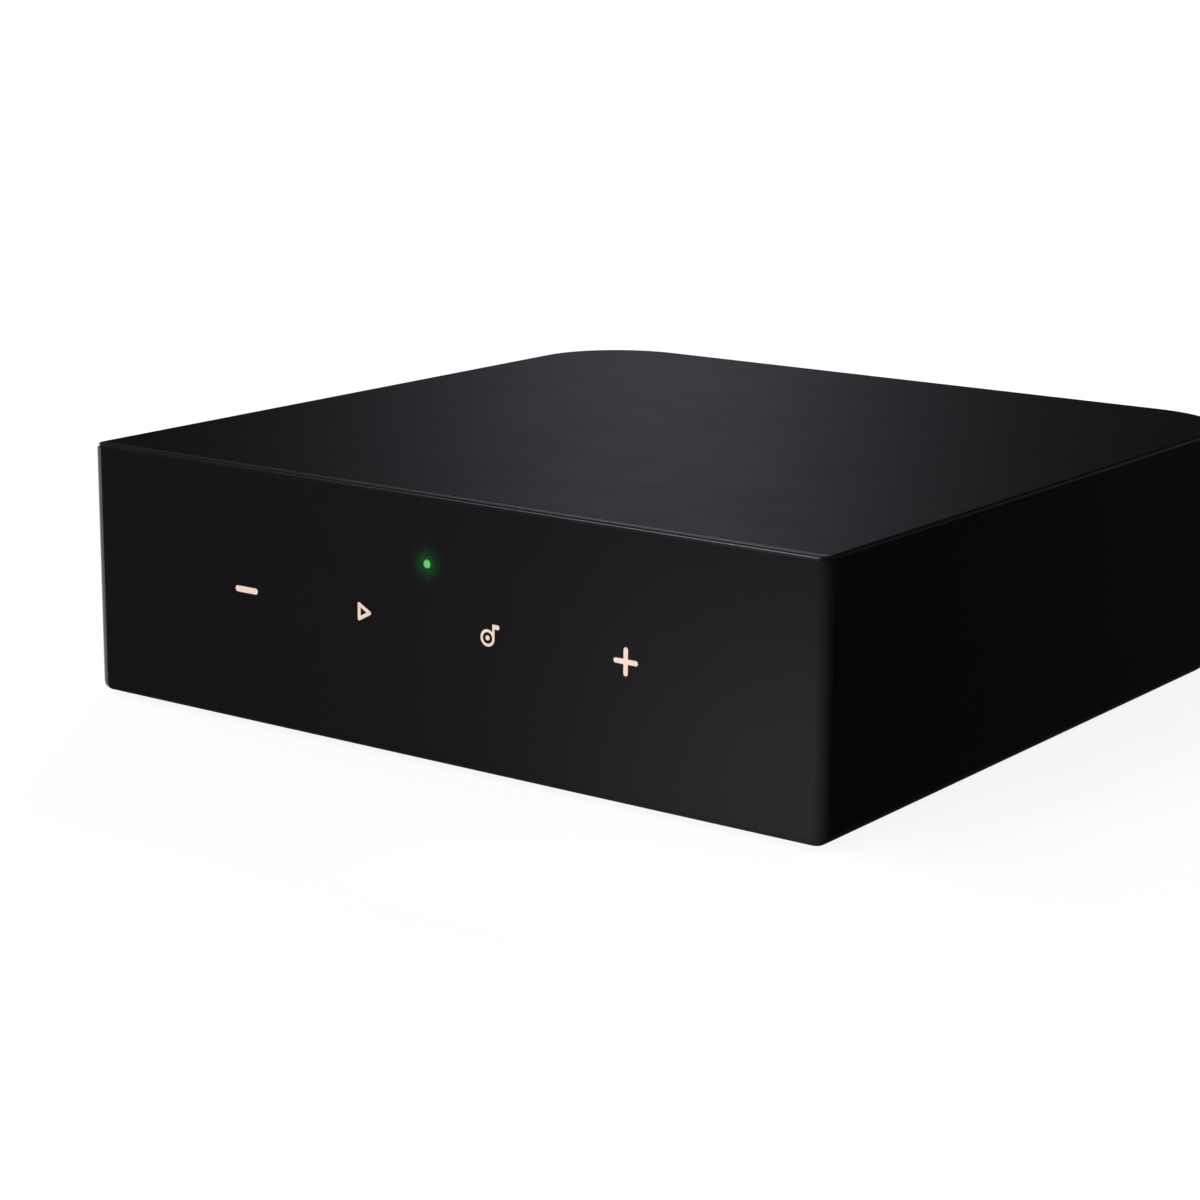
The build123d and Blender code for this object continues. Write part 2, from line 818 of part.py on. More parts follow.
def optical_flap(x):
    """Spring-loaded dust shutter: a plate on a knuckle whose two end pins turn in the jack's cheeks."""
    inner = optical_mouth_width / 2 - flap_gap
    half = flap_thickness / 2
    bottom = mouth_bottom + flap_gap
    plate = block(x - inner, x + inner, hinge_y - half, hinge_y + half, bottom, hinge_z)
    lower_edges = plate.edges().filter_by(Axis.Y).group_by(Axis.Z)[0]
    plate = chamfer(lower_edges, optical_key_cut)
    knuckle = crosswise(flap_knuckle_radius, hinge_y, hinge_z, x - inner, x + inner)
    pin_reach = optical_width / 2 - flap_pin_end_gap
    pins = crosswise(flap_pin_radius, hinge_y, hinge_z, x - pin_reach, x + pin_reach)
    return plate + knuckle + pins


def optical_spring(x):
    """Leaf spring under the jack's roof that presses the shutter shut."""
    top = hinge_z + pocket_rise
    tip_y = hinge_y - flap_thickness / 2 - flap_gap
    tip_z = hinge_z - spring_drop
    bend_y = tip_y - spring_run
    foot_y = bend_y - spring_foot
    profile = Polygon(
        (foot_y, top),
        (foot_y, top - spring_thickness),
        (bend_y, top - spring_thickness),
        (tip_y, tip_z - spring_thickness),
        (tip_y, tip_z),
        (bend_y, top),
        align=None,
    )
    side = Plane((x - spring_width / 2, 0, 0), x_dir=(0, 1, 0), z_dir=(1, 0, 0))
    return extrude(side * profile, spring_width)


def optical_element(x):
    """Light receiver or emitter at the back of an optical jack, with its lens."""
    back = port_face - optical_depth
    middle = (mouth_bottom + mouth_top) / 2
    wide = optical_element_width / 2
    tall = optical_element_height / 2
    face = back + optical_element_depth
    element = block(x - wide, x + wide, back, face, middle - tall, middle + tall)
    return element + lengthwise(optical_lens_radius, x, middle, back, port_face - optical_cavity_depth)


def trigger_jack():
    x = port_x["trigger"]
    half = trigger_width / 2
    body_front = port_back_face - trigger_depth
    body = block(x - half, x + half, body_front, port_back_face, board_top, board_top + trigger_height)
    collar_end = port_face - trigger_bore_length - fit_gap
    return body - lengthwise(trigger_collar_radius + fit_gap, x, trigger_z, collar_end, port_face)


def trigger_collar():
    x = port_x["trigger"]
    collar_end = port_face - trigger_bore_length
    collar = lengthwise(trigger_collar_radius, x, trigger_z, collar_end, port_face)
    return collar - lengthwise(trigger_bore_radius, x, trigger_z, collar_end - overrun, port_face + overrun)


def network_shield():
    """Folded metal can of the network socket, open underneath and at the plug's mouth."""
    x = port_x["network"]
    half = network_width / 2
    top = board_top + network_height
    back = port_face - network_depth
    inner = half - network_shield_wall
    front = port_face - network_shield_wall
    can = block(x - half, x + half, back, port_face, board_top, top)
    hollow_back = back + network_shield_wall
    hollow_top = top - network_shield_wall
    can -= block(x - inner, x + inner, hollow_back, front, board_top - overrun, hollow_top)
    mouth = half - network_lip
    low = board_top + network_lip
    return can - block(x - mouth, x + mouth, front - overrun, port_face + overrun, low, top - network_lip)


def network_mouth_floor():
    """Height of the widest part of the network plug's mouth above which the plug lies."""
    return board_top + network_floor + network_key_height + network_latch_height


def network_contact(x):
    """One spring contact of the network socket: a flat stretch in the roof, then a slope."""
    roof = network_mouth_floor() + network_mouth_height
    size = network_contact_width
    flat_back = port_face - network_contact_setback
    flat_front = flat_back - network_contact_flat
    tip_y = flat_front - network_contact_slope_run
    tip_z = roof - network_contact_slope_drop
    profile = Polygon(
        (flat_back, roof),
        (flat_back, roof + size),
        (flat_front, roof + size),
        (tip_y, tip_z + size),
        (tip_y, tip_z),
        (flat_front, roof),
        align=None,
    )
    side = Plane((x - size / 2, 0, 0), x_dir=(0, 1, 0), z_dir=(1, 0, 0))
    return extrude(side * profile, size)


def network_contact_places():
    """Middle of each contact of the network socket along X."""
    middle = (network_contact_count - 1) / 2
    return [
        port_x["network"] + (step - middle) * network_contact_pitch
        for step in range(network_contact_count)
    ]


def network_contacts():
    return Compound([network_contact(x) for x in network_contact_places()])


def network_insert():
    """Plastic core of the network socket, with the stepped mouth for the plug and its latch."""
    x = port_x["network"]
    wall = network_shield_wall + fit_gap
    half = network_width / 2 - wall
    back = port_face - network_depth + wall
    top = board_top + network_height - wall
    insert = block(x - half, x + half, back, port_face - wall, board_top, top)
    mouth_end = port_face - network_mouth_depth
    floor = network_mouth_floor()
    steps = [
        (network_mouth_width, floor, floor + network_mouth_height),
        (network_latch_width, floor - network_latch_height, floor),
        (network_key_width, floor - network_latch_height - network_key_height, floor),
    ]
    for width, low, high in steps:
        insert -= block(x - width / 2, x + width / 2, mouth_end, port_face, low, high)
    roof = floor + network_mouth_height
    slot = network_contact_width / 2 + network_slot_gap
    slot_back = port_face - network_contact_setback + network_slot_gap
    slot_front = slot_back - network_contact_flat - network_contact_slope_run
    slot_top = roof + network_contact_width + network_slot_gap
    for place in network_contact_places():
        insert -= block(place - slot, place + slot, slot_front, slot_back, floor, slot_top)
    return insert


def power_shell():
    """Metal shell of the power socket."""
    x = port_x["power"]
    front = port_face - power_length
    shell = stadium(x, power_z, power_width, power_height, front, port_face)
    inner_width = power_width - 2 * power_wall
    inner_height = power_height - 2 * power_wall
    return shell - stadium(x, power_z, inner_width, inner_height, front - overrun, port_face + overrun)


def power_tongue():
    """Plastic base and contact tongue inside the power socket."""
    x = port_x["power"]
    front = port_face - power_length
    wall = power_wall + fit_gap
    base_back = front + power_base_length
    base = stadium(x, power_z, power_width - 2 * wall, power_height - 2 * wall, front, base_back)
    half = power_tongue_width / 2
    rise = power_tongue_thickness / 2
    tip = base_back + power_tongue_length
    return base + block(x - half, x + half, front, tip, power_z - rise, power_z + rise)


def on_board(x, y, width, depth, height, lift=0):
    """Block standing on the main board, or lifted above it."""
    low = board_top + lift
    return block(x - width / 2, x + width / 2, y - depth / 2, y + depth / 2, low, low + height)


def processor():
    return on_board(processor_x, processor_y, processor_size, processor_size, processor_height)


def processor_shield():
    can = on_board(processor_x, processor_y, shield_width, shield_depth, shield_height)
    inner_width = shield_width - 2 * shield_wall
    inner_depth = shield_depth - 2 * shield_wall
    inner_height = shield_height - shield_wall + overrun
    return can - on_board(processor_x, processor_y, inner_width, inner_depth, inner_height, -overrun)


def thermal_pads():
    """Soft pads that carry heat from the processor to its shield and from the shield to the heat sink."""
    inner_height = shield_height - shield_wall - processor_height
    width = processor_pad_width
    inner = on_board(processor_x, processor_y, width, width, inner_height, processor_height)
    outer = on_board(processor_x, processor_y, pad_width, pad_depth, pad_thickness, shield_height)
    return Compound([inner, outer])


def heat_sink():
    lift = shield_height + pad_thickness
    sink = on_board(processor_x, processor_y, sink_width, sink_depth, sink_base, lift)
    pitch = (sink_width - sink_fin_thickness) / (sink_fin_count - 1)
    first = processor_x - (sink_width - sink_fin_thickness) / 2
    fin_height = sink_base + sink_fin_height
    for step in range(sink_fin_count):
        x = first + step * pitch
        sink += on_board(x, processor_y, sink_fin_thickness, sink_depth, fin_height, lift)
    return sink


def radio_board():
    return on_board(radio_x, radio_y, radio_width, radio_depth, radio_board_thickness)


def radio_shield():
    """Cover of the radio module, which leaves a strip at the front for the aerial plugs."""
    width = radio_width - 2 * radio_shield_margin
    depth = radio_depth - radio_plug_strip - 2 * radio_shield_margin
    y = radio_y + radio_plug_strip / 2
    return on_board(radio_x, y, width, depth, radio_shield_height, radio_board_thickness)


def filter_capacitors():
    cans = []
    for step in range(capacitor_count):
        x = capacitor_row_x + (step % 2) * capacitor_pitch
        y = capacitor_row_y - (step // 2) * capacitor_pitch
        cans.append(upright(capacitor_radius, x, y, board_top, board_top + capacitor_height))
    return Compound(cans)


def power_inductors():
    coils = []
    for step in range(inductor_count):
        y = inductor_row_y - step * inductor_pitch
        coil = on_board(inductor_row_x, y, inductor_size, inductor_size, inductor_height)
        coils.append(fillet(coil.edges().filter_by(Axis.Z), inductor_corner_radius))
    return Compound(coils)


def network_transformer():
    y = port_face - network_depth - transformer_gap - transformer_depth / 2
    return on_board(port_x["network"], y, transformer_width, transformer_depth, transformer_height)


def signal_chips():
    return Compound(
        [
            on_board(chip_row_x + step * chip_pitch, chip_row_y, chip_size, chip_size, chip_height)
            for step in range(chip_count)
        ]
    )


def cable_connectors():
    """Sockets of the flat cable, one on the touch board and one on the main board."""
    left = cable_x - connector_width / 2
    right = cable_x + connector_width / 2
    low = touch_connector_height
    front = board_front + board_connector_setback
    upper = block(left, right, touch_back, touch_back + connector_height, low, low + connector_length)
    lower = block(left, right, front, front + connector_length, board_top, board_top + connector_height)
    return Compound([upper, lower])


def touch_cable():
    """Flat cable that runs down from the touch board's socket and back into the main board's socket."""
    y = touch_back + connector_height / 2
    z = board_top + connector_height / 2
    points = [
        (cable_x, y, touch_connector_height),
        (cable_x, y, z),
        (cable_x, board_front + board_connector_setback, z),
    ]
    path = FilletPolyline(*points, radius=cable_bend_radius)
    start = Plane(origin=points[0], x_dir=(1, 0, 0), z_dir=(0, 0, -1))
    return sweep(start * Rectangle(cable_width, cable_thickness), path=path)


def aerial(side):
    """Flexible aerial stuck on the inside of a side wall."""
    x0, x1 = sorted((side * inner_half, side * (inner_half - aerial_thickness)))
    y0 = aerial_middle_y - aerial_length / 2
    z0 = aerial_middle_height - aerial_height / 2
    return block(x0, x1, y0, y0 + aerial_length, z0, z0 + aerial_height)


def aerial_lead(side):
    """Thin coaxial lead from an aerial, down the wall and over the board to its plug on the radio."""
    radio_top = board_top + radio_board_thickness
    lie_z = radio_top + lead_gap + lead_radius
    plug_x = radio_x + side * radio_width / 4
    plug_y = radio_y - radio_depth / 2 + lead_plug_margin
    points = [
        (side * lead_wall_x, aerial_middle_y, aerial_middle_height),
        (side * lead_wall_x, aerial_middle_y, lie_z),
        (side * lead_row_x, aerial_middle_y, lie_z),
        (side * lead_row_x, plug_y, lie_z),
        (plug_x, plug_y, lie_z),
    ]
    path = FilletPolyline(*points, radius=[lead_bend_radius, lead_sweep_radius, lead_sweep_radius])
    section = Plane(origin=points[0], z_dir=(0, 0, -1)) * Circle(lead_radius)
    lead = sweep(section, path=path)
    print("lead", side, "volume over section times length", lead.volume / (section.area * path.length))
    return lead + upright(lead_plug_radius, plug_x, plug_y, radio_top, radio_top + lead_plug_height)


def column(name):
    """Places of the jacks whose names begin like this one."""
    return [place for jack, place in phono_jacks.items() if jack.startswith(name)]


def phono_nodes():
    """Housings, barrels, cores and contacts of the three columns of phono jacks."""
    nodes = {}
    for name in ("line_in", "line_out", "coax"):
        places = column(name)
        nodes[f"{name}_housing"] = phono_housing(name, [z for _, z in places])
        nodes[f"{name}_barrels"] = Compound([phono_barrel(x, z) for x, z in places])
    left = [place for jack, place in phono_jacks.items() if jack.endswith("left")]
    right = [place for jack, place in phono_jacks.items() if jack.endswith("right")]
    nodes["left_cores"] = Compound([phono_insert(x, z) for x, z in left])
    nodes["right_cores"] = Compound([phono_insert(x, z) for x, z in right])
    nodes["coax_core"] = phono_insert(*phono_jacks["coax"])
    nodes["phono_contacts"] = Compound([phono_contact(x, z) for x, z in phono_jacks.values()])
    return nodes


def optical_nodes():
    """Housings, shutters, springs and light elements of the two optical jacks."""
    nodes = {}
    for name in ("optical_in", "optical_out"):
        x = port_x[name]
        nodes[f"{name}_housing"] = optical_housing(x)
        nodes[f"{name}_shutter"] = optical_flap(x)
        nodes[f"{name}_spring"] = optical_spring(x)
    nodes["optical_receiver"] = optical_element(port_x["optical_in"])
    nodes["optical_emitter"] = optical_element(port_x["optical_out"])
    return nodes


def all_nodes():
    nodes = {
        "case_shell": case_shell(),
        "front_panel": front_panel(),
        "rear_panel": rear_panel(),
        "base_plate": base_plate(),
        "foot_ring": foot_ring(),
        "base_screws": base_screws(),
        "status_light_pipe": status_light_pipe(),
        "light_baffle": light_baffle(),
        "touch_pads": touch_pads(),
        "touch_board": touch_board(),
        "indicator_leds": indicator_leds(),
        "touch_board_screws": touch_board_screws(),
        "main_board": main_board(),
        "board_screws": board_screws(),
        "trigger_jack": trigger_jack(),
        "trigger_collar": trigger_collar(),
        "network_shield": network_shield(),
        "network_insert": network_insert(),
        "network_contacts": network_contacts(),
        "power_shell": power_shell(),
        "power_tongue": power_tongue(),
        "processor": processor(),
        "processor_shield": processor_shield(),
        "thermal_pads": thermal_pads(),
        "heat_sink": heat_sink(),
        "radio_board": radio_board(),
        "radio_shield": radio_shield(),
        "filter_capacitors": filter_capacitors(),
        "power_inductors": power_inductors(),
        "network_transformer": network_transformer(),
        "signal_chips": signal_chips(),
        "cable_connectors": cable_connectors(),
        "touch_cable": touch_cable(),
        "left_aerial": aerial(-1),
        "right_aerial": aerial(1),
        "left_aerial_lead": aerial_lead(-1),
        "right_aerial_lead": aerial_lead(1),
    }
    for name in icon_shapes():
        nodes[name] = icon(name)
    return nodes | phono_nodes() | optical_nodes()


def main():
    os.makedirs("parts", exist_ok=True)
    nodes = all_nodes()
    for name, shape in nodes.items():
        export_step(shape, f"parts/{name}.step")
    print(len(nodes), "nodes")


main()
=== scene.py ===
import json
import math

import bmesh
import bpy
from mathutils import Euler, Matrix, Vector


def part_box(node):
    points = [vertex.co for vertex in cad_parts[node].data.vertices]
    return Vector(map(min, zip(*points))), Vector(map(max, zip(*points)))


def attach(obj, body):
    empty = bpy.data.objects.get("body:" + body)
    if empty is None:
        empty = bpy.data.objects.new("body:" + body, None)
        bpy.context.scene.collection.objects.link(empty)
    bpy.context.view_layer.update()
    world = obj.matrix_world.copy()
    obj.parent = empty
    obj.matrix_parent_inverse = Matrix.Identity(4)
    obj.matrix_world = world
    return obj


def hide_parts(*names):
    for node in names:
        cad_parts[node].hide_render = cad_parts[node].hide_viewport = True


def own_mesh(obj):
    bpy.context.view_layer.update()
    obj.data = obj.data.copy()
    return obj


# Looks of the compact network music streamer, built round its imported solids.
# Metres. +Z is up, the touch front looks along -Y and the sockets are at +Y.

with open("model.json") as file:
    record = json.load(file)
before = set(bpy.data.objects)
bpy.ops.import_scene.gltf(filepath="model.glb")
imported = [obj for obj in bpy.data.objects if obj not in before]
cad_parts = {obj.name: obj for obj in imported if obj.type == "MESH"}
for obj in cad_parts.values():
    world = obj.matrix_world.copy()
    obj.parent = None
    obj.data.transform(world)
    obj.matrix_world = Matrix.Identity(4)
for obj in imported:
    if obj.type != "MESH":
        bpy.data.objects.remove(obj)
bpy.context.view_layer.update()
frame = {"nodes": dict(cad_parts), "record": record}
MM = 0.001

# Camera, as the photograph was taken. The lens and the sensor are in millimetres.
camera_place = Vector((272.55, -401.98, 128.17)) * MM
camera_turn = math.radians(35.929)
camera_dip = math.radians(13.378)
camera_roll = math.radians(0.479)
camera_lens = 88.286
camera_sensor = 36.0
nearest_seen = 0.01
farthest_seen = 50.0

# Floor and room: the floor is a little less white near the object than far away
floor_half = 20.0
floor_grey = 0.16
floor_white_near = 0.89
floor_white_far = 1.0
floor_near = 0.45
floor_far = 1.1
room_grey = 0.015

# Strip lamp far behind the object, which gives the top its sheen
strip_aside = math.radians(1.0)
strip_distance = 2.0
strip_height = 1.14
strip_blue = (0.86, 0.89, 1.0)

# Front panel, its status light and the green glow painted on the panel round it
lens_low, lens_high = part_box("status_light_pipe")
lens_middle = (lens_low + lens_high) / 2
lens_radius = (lens_high.x - lens_low.x) / 2
lens_core_gain = 1.6
lens_rim_colour = (0.006, 0.10, 0.02)
# Painted glow: green emission on the front panel itself, fading out from the status light over this reach
painted_glow_reach = 4.4 * MM
painted_glow_colour = (0.005, 0.17, 0.038)
painted_glow_falling = 3.0
panel_coat_roughness = 0.2
panel_coat_ior = 1.55
upper_polish = 0.52
left_polish = 1.0

# Moulded surfaces
pebble_softness = 0.6
pebble_share = -0.7
speckles_per_grain = 2.3
dust_colour = (0.32, 0.31, 0.30)
dust_flecks_per_metre = 5200.0
rubbed_plastic_gain = 1.5
plastic_swing = 0.04
inlay_edge = 0.2 * MM
inlay_depth = 0.002 * MM
inlay_roughness = 0.35
inlay_swing = 0.05

# Metal surfaces
tool_mark_depth = 0.002 * MM
metal_edge = 0.12 * MM
metal_drift = 0.05
metal_patches_per_metre = 260.0
metal_smoother = 0.06
metal_rougher = 0.08
rubbed_metal_gain = 1.15

# Lacquered boards with copper tracks
lacquer_green = (0.008, 0.075, 0.03)
track_green = (0.02, 0.16, 0.06)
board_edge_colour = (0.25, 0.22, 0.10)
board_edge = 0.1 * MM
track_gap = 0.16 * MM
track_length = 3.4 * MM
track_pitch = 1.1 * MM
track_proud = 0.02 * MM

# Meshes: points closer than the weld are one, and edges sharper than the limit stay sharp
weld = 1e-7
smooth_limit = math.radians(35.0)

# Phono jack sleeves
sleeve_bore = 3.25 * MM
sleeve_root_radius = 3.90 * MM
sleeve_shoulder = 8.30 * MM
sleeve_lip = 0.28 * MM
sleeve_groove_count = 2
sleeve_groove_width = 0.50 * MM
sleeve_groove_depth = 0.14 * MM
sleeve_groove_gap = 0.90 * MM
sleeve_sides = 72
jack_pitch = 14.0 * MM

# Case screws
screw_grid = Vector((125.2, 89.0, 0.0)) * MM
screw_middle = Vector((0.0, -8.5, 0.6)) * MM
screw_head_radius = 2.7 * MM
screw_head_height = 1.3 * MM
screw_dome_radius = 7.0 * MM
screw_recess_length = 2.9 * MM
screw_recess_width = 0.62 * MM
screw_recess_depth = 0.75 * MM
screw_head_sides = 64
screw_dome_rings = 48
screw_shank_radius = 1.5 * MM
screw_shank_length = 9.0 * MM
screw_shank_sides = 32
screw_thread_pitch = 1.0 * MM
screw_thread_depth = 0.22 * MM

# Foot ring
foot_corner = 16.0 * MM
foot_band = 7.0 * MM
foot_groove_width = 0.7 * MM
foot_groove_depth = 0.35 * MM
foot_groove_count = 3
foot_edge = 0.3 * MM

# Network contacts
contact_count = 8
contact_pitch = 1.02 * MM
contact_width = 0.36 * MM
contact_flat = 2.4 * MM
contact_slope_run = 5.93 * MM
contact_slope_drop = 2.2 * MM
contact_bend = 0.9 * MM
contact_bend_steps = 6

# Power contacts
pad_count = 12
pad_pitch = 0.50 * MM
pad_width = 0.26 * MM
pad_length = 3.6 * MM
pad_proud = 0.03 * MM
pad_end_steps = 6
pad_top_width_share = 0.9
pad_top_length_share = 0.99
tongue_thickness = 0.7 * MM

# Leaf springs of the optical shutters. The sweep is an angle in radians.
leaf_thickness = 0.2 * MM
leaf_foot = 1.6 * MM
leaf_sweep = 1.75
leaf_steps = 14


def node(tree, kind, sockets=None, **settings):
    """Adds a node. Sockets are filled by name or number, with a value or another node's output."""
    made = tree.nodes.new(kind)
    for name, value in settings.items():
        setattr(made, name, value)
    for key, value in (sockets or {}).items():
        if isinstance(value, bpy.types.NodeSocket):
            tree.links.new(value, made.inputs[key])
        else:
            made.inputs[key].default_value = value
    return made


def math_node(tree, operation, *values, clamp=False):
    """Output of a math node on one or more values."""
    made = node(tree, "ShaderNodeMath", dict(enumerate(values)), operation=operation, use_clamp=clamp)
    return made.outputs[0]


def shader_group(name, inputs, outputs):
    """Empty node group with its named inputs and outputs."""
    tree = bpy.data.node_groups.new(name, "ShaderNodeTree")
    for label, kind, value in inputs:
        socket = tree.interface.new_socket(label, in_out="INPUT", socket_type=kind)
        socket.default_value = value
    for label, kind in outputs:
        tree.interface.new_socket(label, in_out="OUTPUT", socket_type=kind)
    entry = tree.nodes.new("NodeGroupInput")
    return tree, entry.outputs, tree.nodes.new("NodeGroupOutput")


def object_place(tree):
    """Point of the surface on the piece itself, in metres."""
    return tree.nodes.new("ShaderNodeTexCoord").outputs["Object"]


def mould_grain_group():
    """Fine pebbled grain that a moulded part takes from its tool."""
    tree, given, end = shader_group(
        "mould_grain",
        [("Grains per metre", "NodeSocketFloat", 3000.0)],
        [("Height", "NodeSocketFloat")],
    )
    place = object_place(tree)
    scale = given["Grains per metre"]
    pebble = node(tree, "ShaderNodeTexVoronoi", {"Vector": place, "Scale": scale}, feature="SMOOTH_F1")
    pebble.inputs["Smoothness"].default_value = pebble_softness
    finer = math_node(tree, "MULTIPLY", scale, speckles_per_grain)
    speckle = node(tree, "ShaderNodeTexNoise", {"Vector": place, "Scale": finer, "Detail": 2.0})
    height = math_node(
        tree, "MULTIPLY_ADD", pebble.outputs["Distance"], pebble_share, speckle.outputs["Fac"]
    )
    tree.links.new(height, end.inputs["Height"])
    return tree


def soft_edge_group():
    """Rounds sharp edges in the shading, and marks where hands and tools rub them."""
    tree, given, end = shader_group(
        "soft_edge",
        [("Radius", "NodeSocketFloat", 0.0002), ("Breakup per metre", "NodeSocketFloat", 400.0)],
        [("Normal", "NodeSocketVector"), ("Rub", "NodeSocketFloat")],
    )
    bevel = node(tree, "ShaderNodeBevel", {"Radius": given["Radius"]}, samples=4)
    flat = tree.nodes.new("ShaderNodeNewGeometry").outputs["Normal"]
    agree = node(tree, "ShaderNodeVectorMath", {0: bevel.outputs[0], 1: flat}, operation="DOT_PRODUCT")
    rub_gain = 6.0
    rub = math_node(tree, "MULTIPLY_ADD", agree.outputs["Value"], -rub_gain, rub_gain, clamp=True)
    breakup = node(
        tree, "ShaderNodeTexNoise", {"Vector": object_place(tree), "Scale": given["Breakup per metre"]}
    )
    swing, least = 1.4, 0.2
    uneven = math_node(tree, "MULTIPLY_ADD", breakup.outputs["Fac"], swing, least, clamp=True)
    tree.links.new(bevel.outputs[0], end.inputs["Normal"])
    tree.links.new(math_node(tree, "MULTIPLY", rub, uneven), end.inputs["Rub"])
    return tree


def dust_group():
    """Thin dust on what faces up, thicker in patches."""
    tree, given, end = shader_group(
        "settled_dust",
        [("Amount", "NodeSocketFloat", 0.1), ("Patches per metre", "NodeSocketFloat", 60.0)],
        [("Dust", "NodeSocketFloat")],
    )
    flat = tree.nodes.new("ShaderNodeNewGeometry").outputs["Normal"]
    up = node(tree, "ShaderNodeSeparateXYZ", {0: flat}).outputs["Z"]
    facing = node(tree, "ShaderNodeMapRange", {"Value": up, "From Min": 0.5, "From Max": 1.0})
    place = object_place(tree)
    patch = node(tree, "ShaderNodeTexNoise", {"Vector": place, "Scale": given["Patches per metre"]})
    fleck = node(
        tree, "ShaderNodeTexNoise", {"Vector": place, "Scale": dust_flecks_per_metre, "Detail": 1.0}
    )
    bare, covered = "From Min", "From Max"
    coarse = node(tree, "ShaderNodeMapRange", {"Value": patch.outputs["Fac"], bare: 0.35, covered: 0.75})
    fine = node(tree, "ShaderNodeMapRange", {"Value": fleck.outputs["Fac"], bare: 0.45, covered: 0.75})
    cover = math_node(tree, "MULTIPLY", coarse.outputs[0], fine.outputs[0])
    lying = math_node(tree, "MULTIPLY", cover, facing.outputs[0])
    tree.links.new(math_node(tree, "MULTIPLY", lying, given["Amount"]), end.inputs["Dust"])
    return tree


def drift_group():
    """Lets a colour wander a little lighter and darker over the surface."""
    tree, given, end = shader_group(
        "colour_drift",
        [
            ("Colour", "NodeSocketColor", (0.5, 0.5, 0.5, 1.0)),
            ("Amount", "NodeSocketFloat", 0.1),
            ("Patches per metre", "NodeSocketFloat", 90.0),
        ],
        [("Colour", "NodeSocketColor"), ("Patch", "NodeSocketFloat")],
    )
    patch = node(
        tree,
        "ShaderNodeTexNoise",
        {"Vector": object_place(tree), "Scale": given["Patches per metre"], "Detail": 4.0},
    )
    swing = math_node(tree, "MULTIPLY_ADD", patch.outputs["Fac"], 2.0, -1.0)
    value = math_node(tree, "MULTIPLY_ADD", swing, given["Amount"], 1.0)
    shade = node(tree, "ShaderNodeHueSaturation", {"Value": value, "Color": given["Colour"]})
    tree.links.new(shade.outputs[0], end.inputs["Colour"])
    tree.links.new(patch.outputs["Fac"], end.inputs["Patch"])
    return tree


def tool_mark_group():
    """Fine parallel lines left by turning, rolling or brushing, closer or wider along each axis."""
    tree, given, end = shader_group(
        "tool_marks",
        [("Lines per metre", "NodeSocketVector", (100.0, 9000.0, 100.0))],
        [("Height", "NodeSocketFloat")],
    )
    stretched = node(
        tree,
        "ShaderNodeVectorMath",
        {0: object_place(tree), 1: given["Lines per metre"]},
        operation="MULTIPLY",
    )
    lines = node(tree, "ShaderNodeTexNoise", {"Vector": stretched.outputs[0], "Scale": 1.0, "Detail": 3.0})
    tree.links.new(lines.outputs["Fac"], end.inputs["Height"])
    return tree


def polished_group():
    """Marks the roundings between front and top and on the left, which hands polish most."""
    tree, given, end = shader_group(
        "polished_rounding",
        [("Upper", "NodeSocketFloat", 0.3), ("Left", "NodeSocketFloat", 1.0)],
        [("Polish", "NodeSocketFloat")],
    )
    band_narrowing, leaving_front_gain, nearing_side_gain = 5.0, 16.0, 8.0
    flat = tree.nodes.new("ShaderNodeNewGeometry").outputs["Normal"]
    parts = node(tree, "ShaderNodeSeparateXYZ", {0: flat}).outputs
    forward = math_node(tree, "MULTIPLY", parts["Y"], -2.0)
    slant = math_node(tree, "MAXIMUM", math_node(tree, "MULTIPLY", forward, parts["Z"]), 0.0)
    upper = math_node(tree, "MULTIPLY", math_node(tree, "POWER", slant, band_narrowing), given["Upper"])
    leftward = math_node(tree, "MULTIPLY", parts["X"], -leaving_front_gain, clamp=True)
    short_of_side = math_node(
        tree, "MULTIPLY_ADD", parts["X"], nearing_side_gain, nearing_side_gain, clamp=True
    )
    left = math_node(tree, "MULTIPLY", math_node(tree, "MULTIPLY", leftward, short_of_side), given["Left"])
    tree.links.new(math_node(tree, "MAXIMUM", upper, left, clamp=True), end.inputs["Polish"])
    return tree


mould_grain = mould_grain_group()
soft_edge = soft_edge_group()
settled_dust = dust_group()
colour_drift = drift_group()
tool_marks = tool_mark_group()
polished_rounding = polished_group()


def use_group(tree, group, **values):
    """Places a shared effect in a material with its own values."""
    placed = node(tree, "ShaderNodeGroup", node_tree=group)
    for name, value in values.items():
        placed.inputs[name.replace("_", " ")].default_value = value
    return placed.outputs


def blank_material(name, level=0.5, metal=0.0, **constants):
    """Material with one Principled shader, whose plain constants sit on its own sockets."""
    material = bpy.data.materials.new(name)
    material.use_nodes = True
    tree = material.node_tree
    shader = tree.nodes["Principled BSDF"]
    shader.inputs["Specular IOR Level"].default_value = level
    shader.inputs["Metallic"].default_value = metal
    for key, value in constants.items():
        shader.inputs[key.replace("_", " ")].default_value = value
    return material, tree, shader.inputs


def lay_surface(tree, sockets, heights, edge, depth):
    """Feeds the shader's normal from the softened edges and a bump of the given depth in metres."""
    bump = node(tree, "ShaderNodeBump", {"Height": heights, "Normal": edge["Normal"], "Distance": depth})
    tree.links.new(bump.outputs[0], sockets["Normal"])


def vary_roughness(tree, sockets, mask, low, high):
    """Lets the roughness go from low to high as the mask goes from 0 to 1."""
    spread = node(tree, "ShaderNodeMapRange", {"Value": mask, "To Min": low, "To Max": high})
    tree.links.new(spread.outputs[0], sockets["Roughness"])


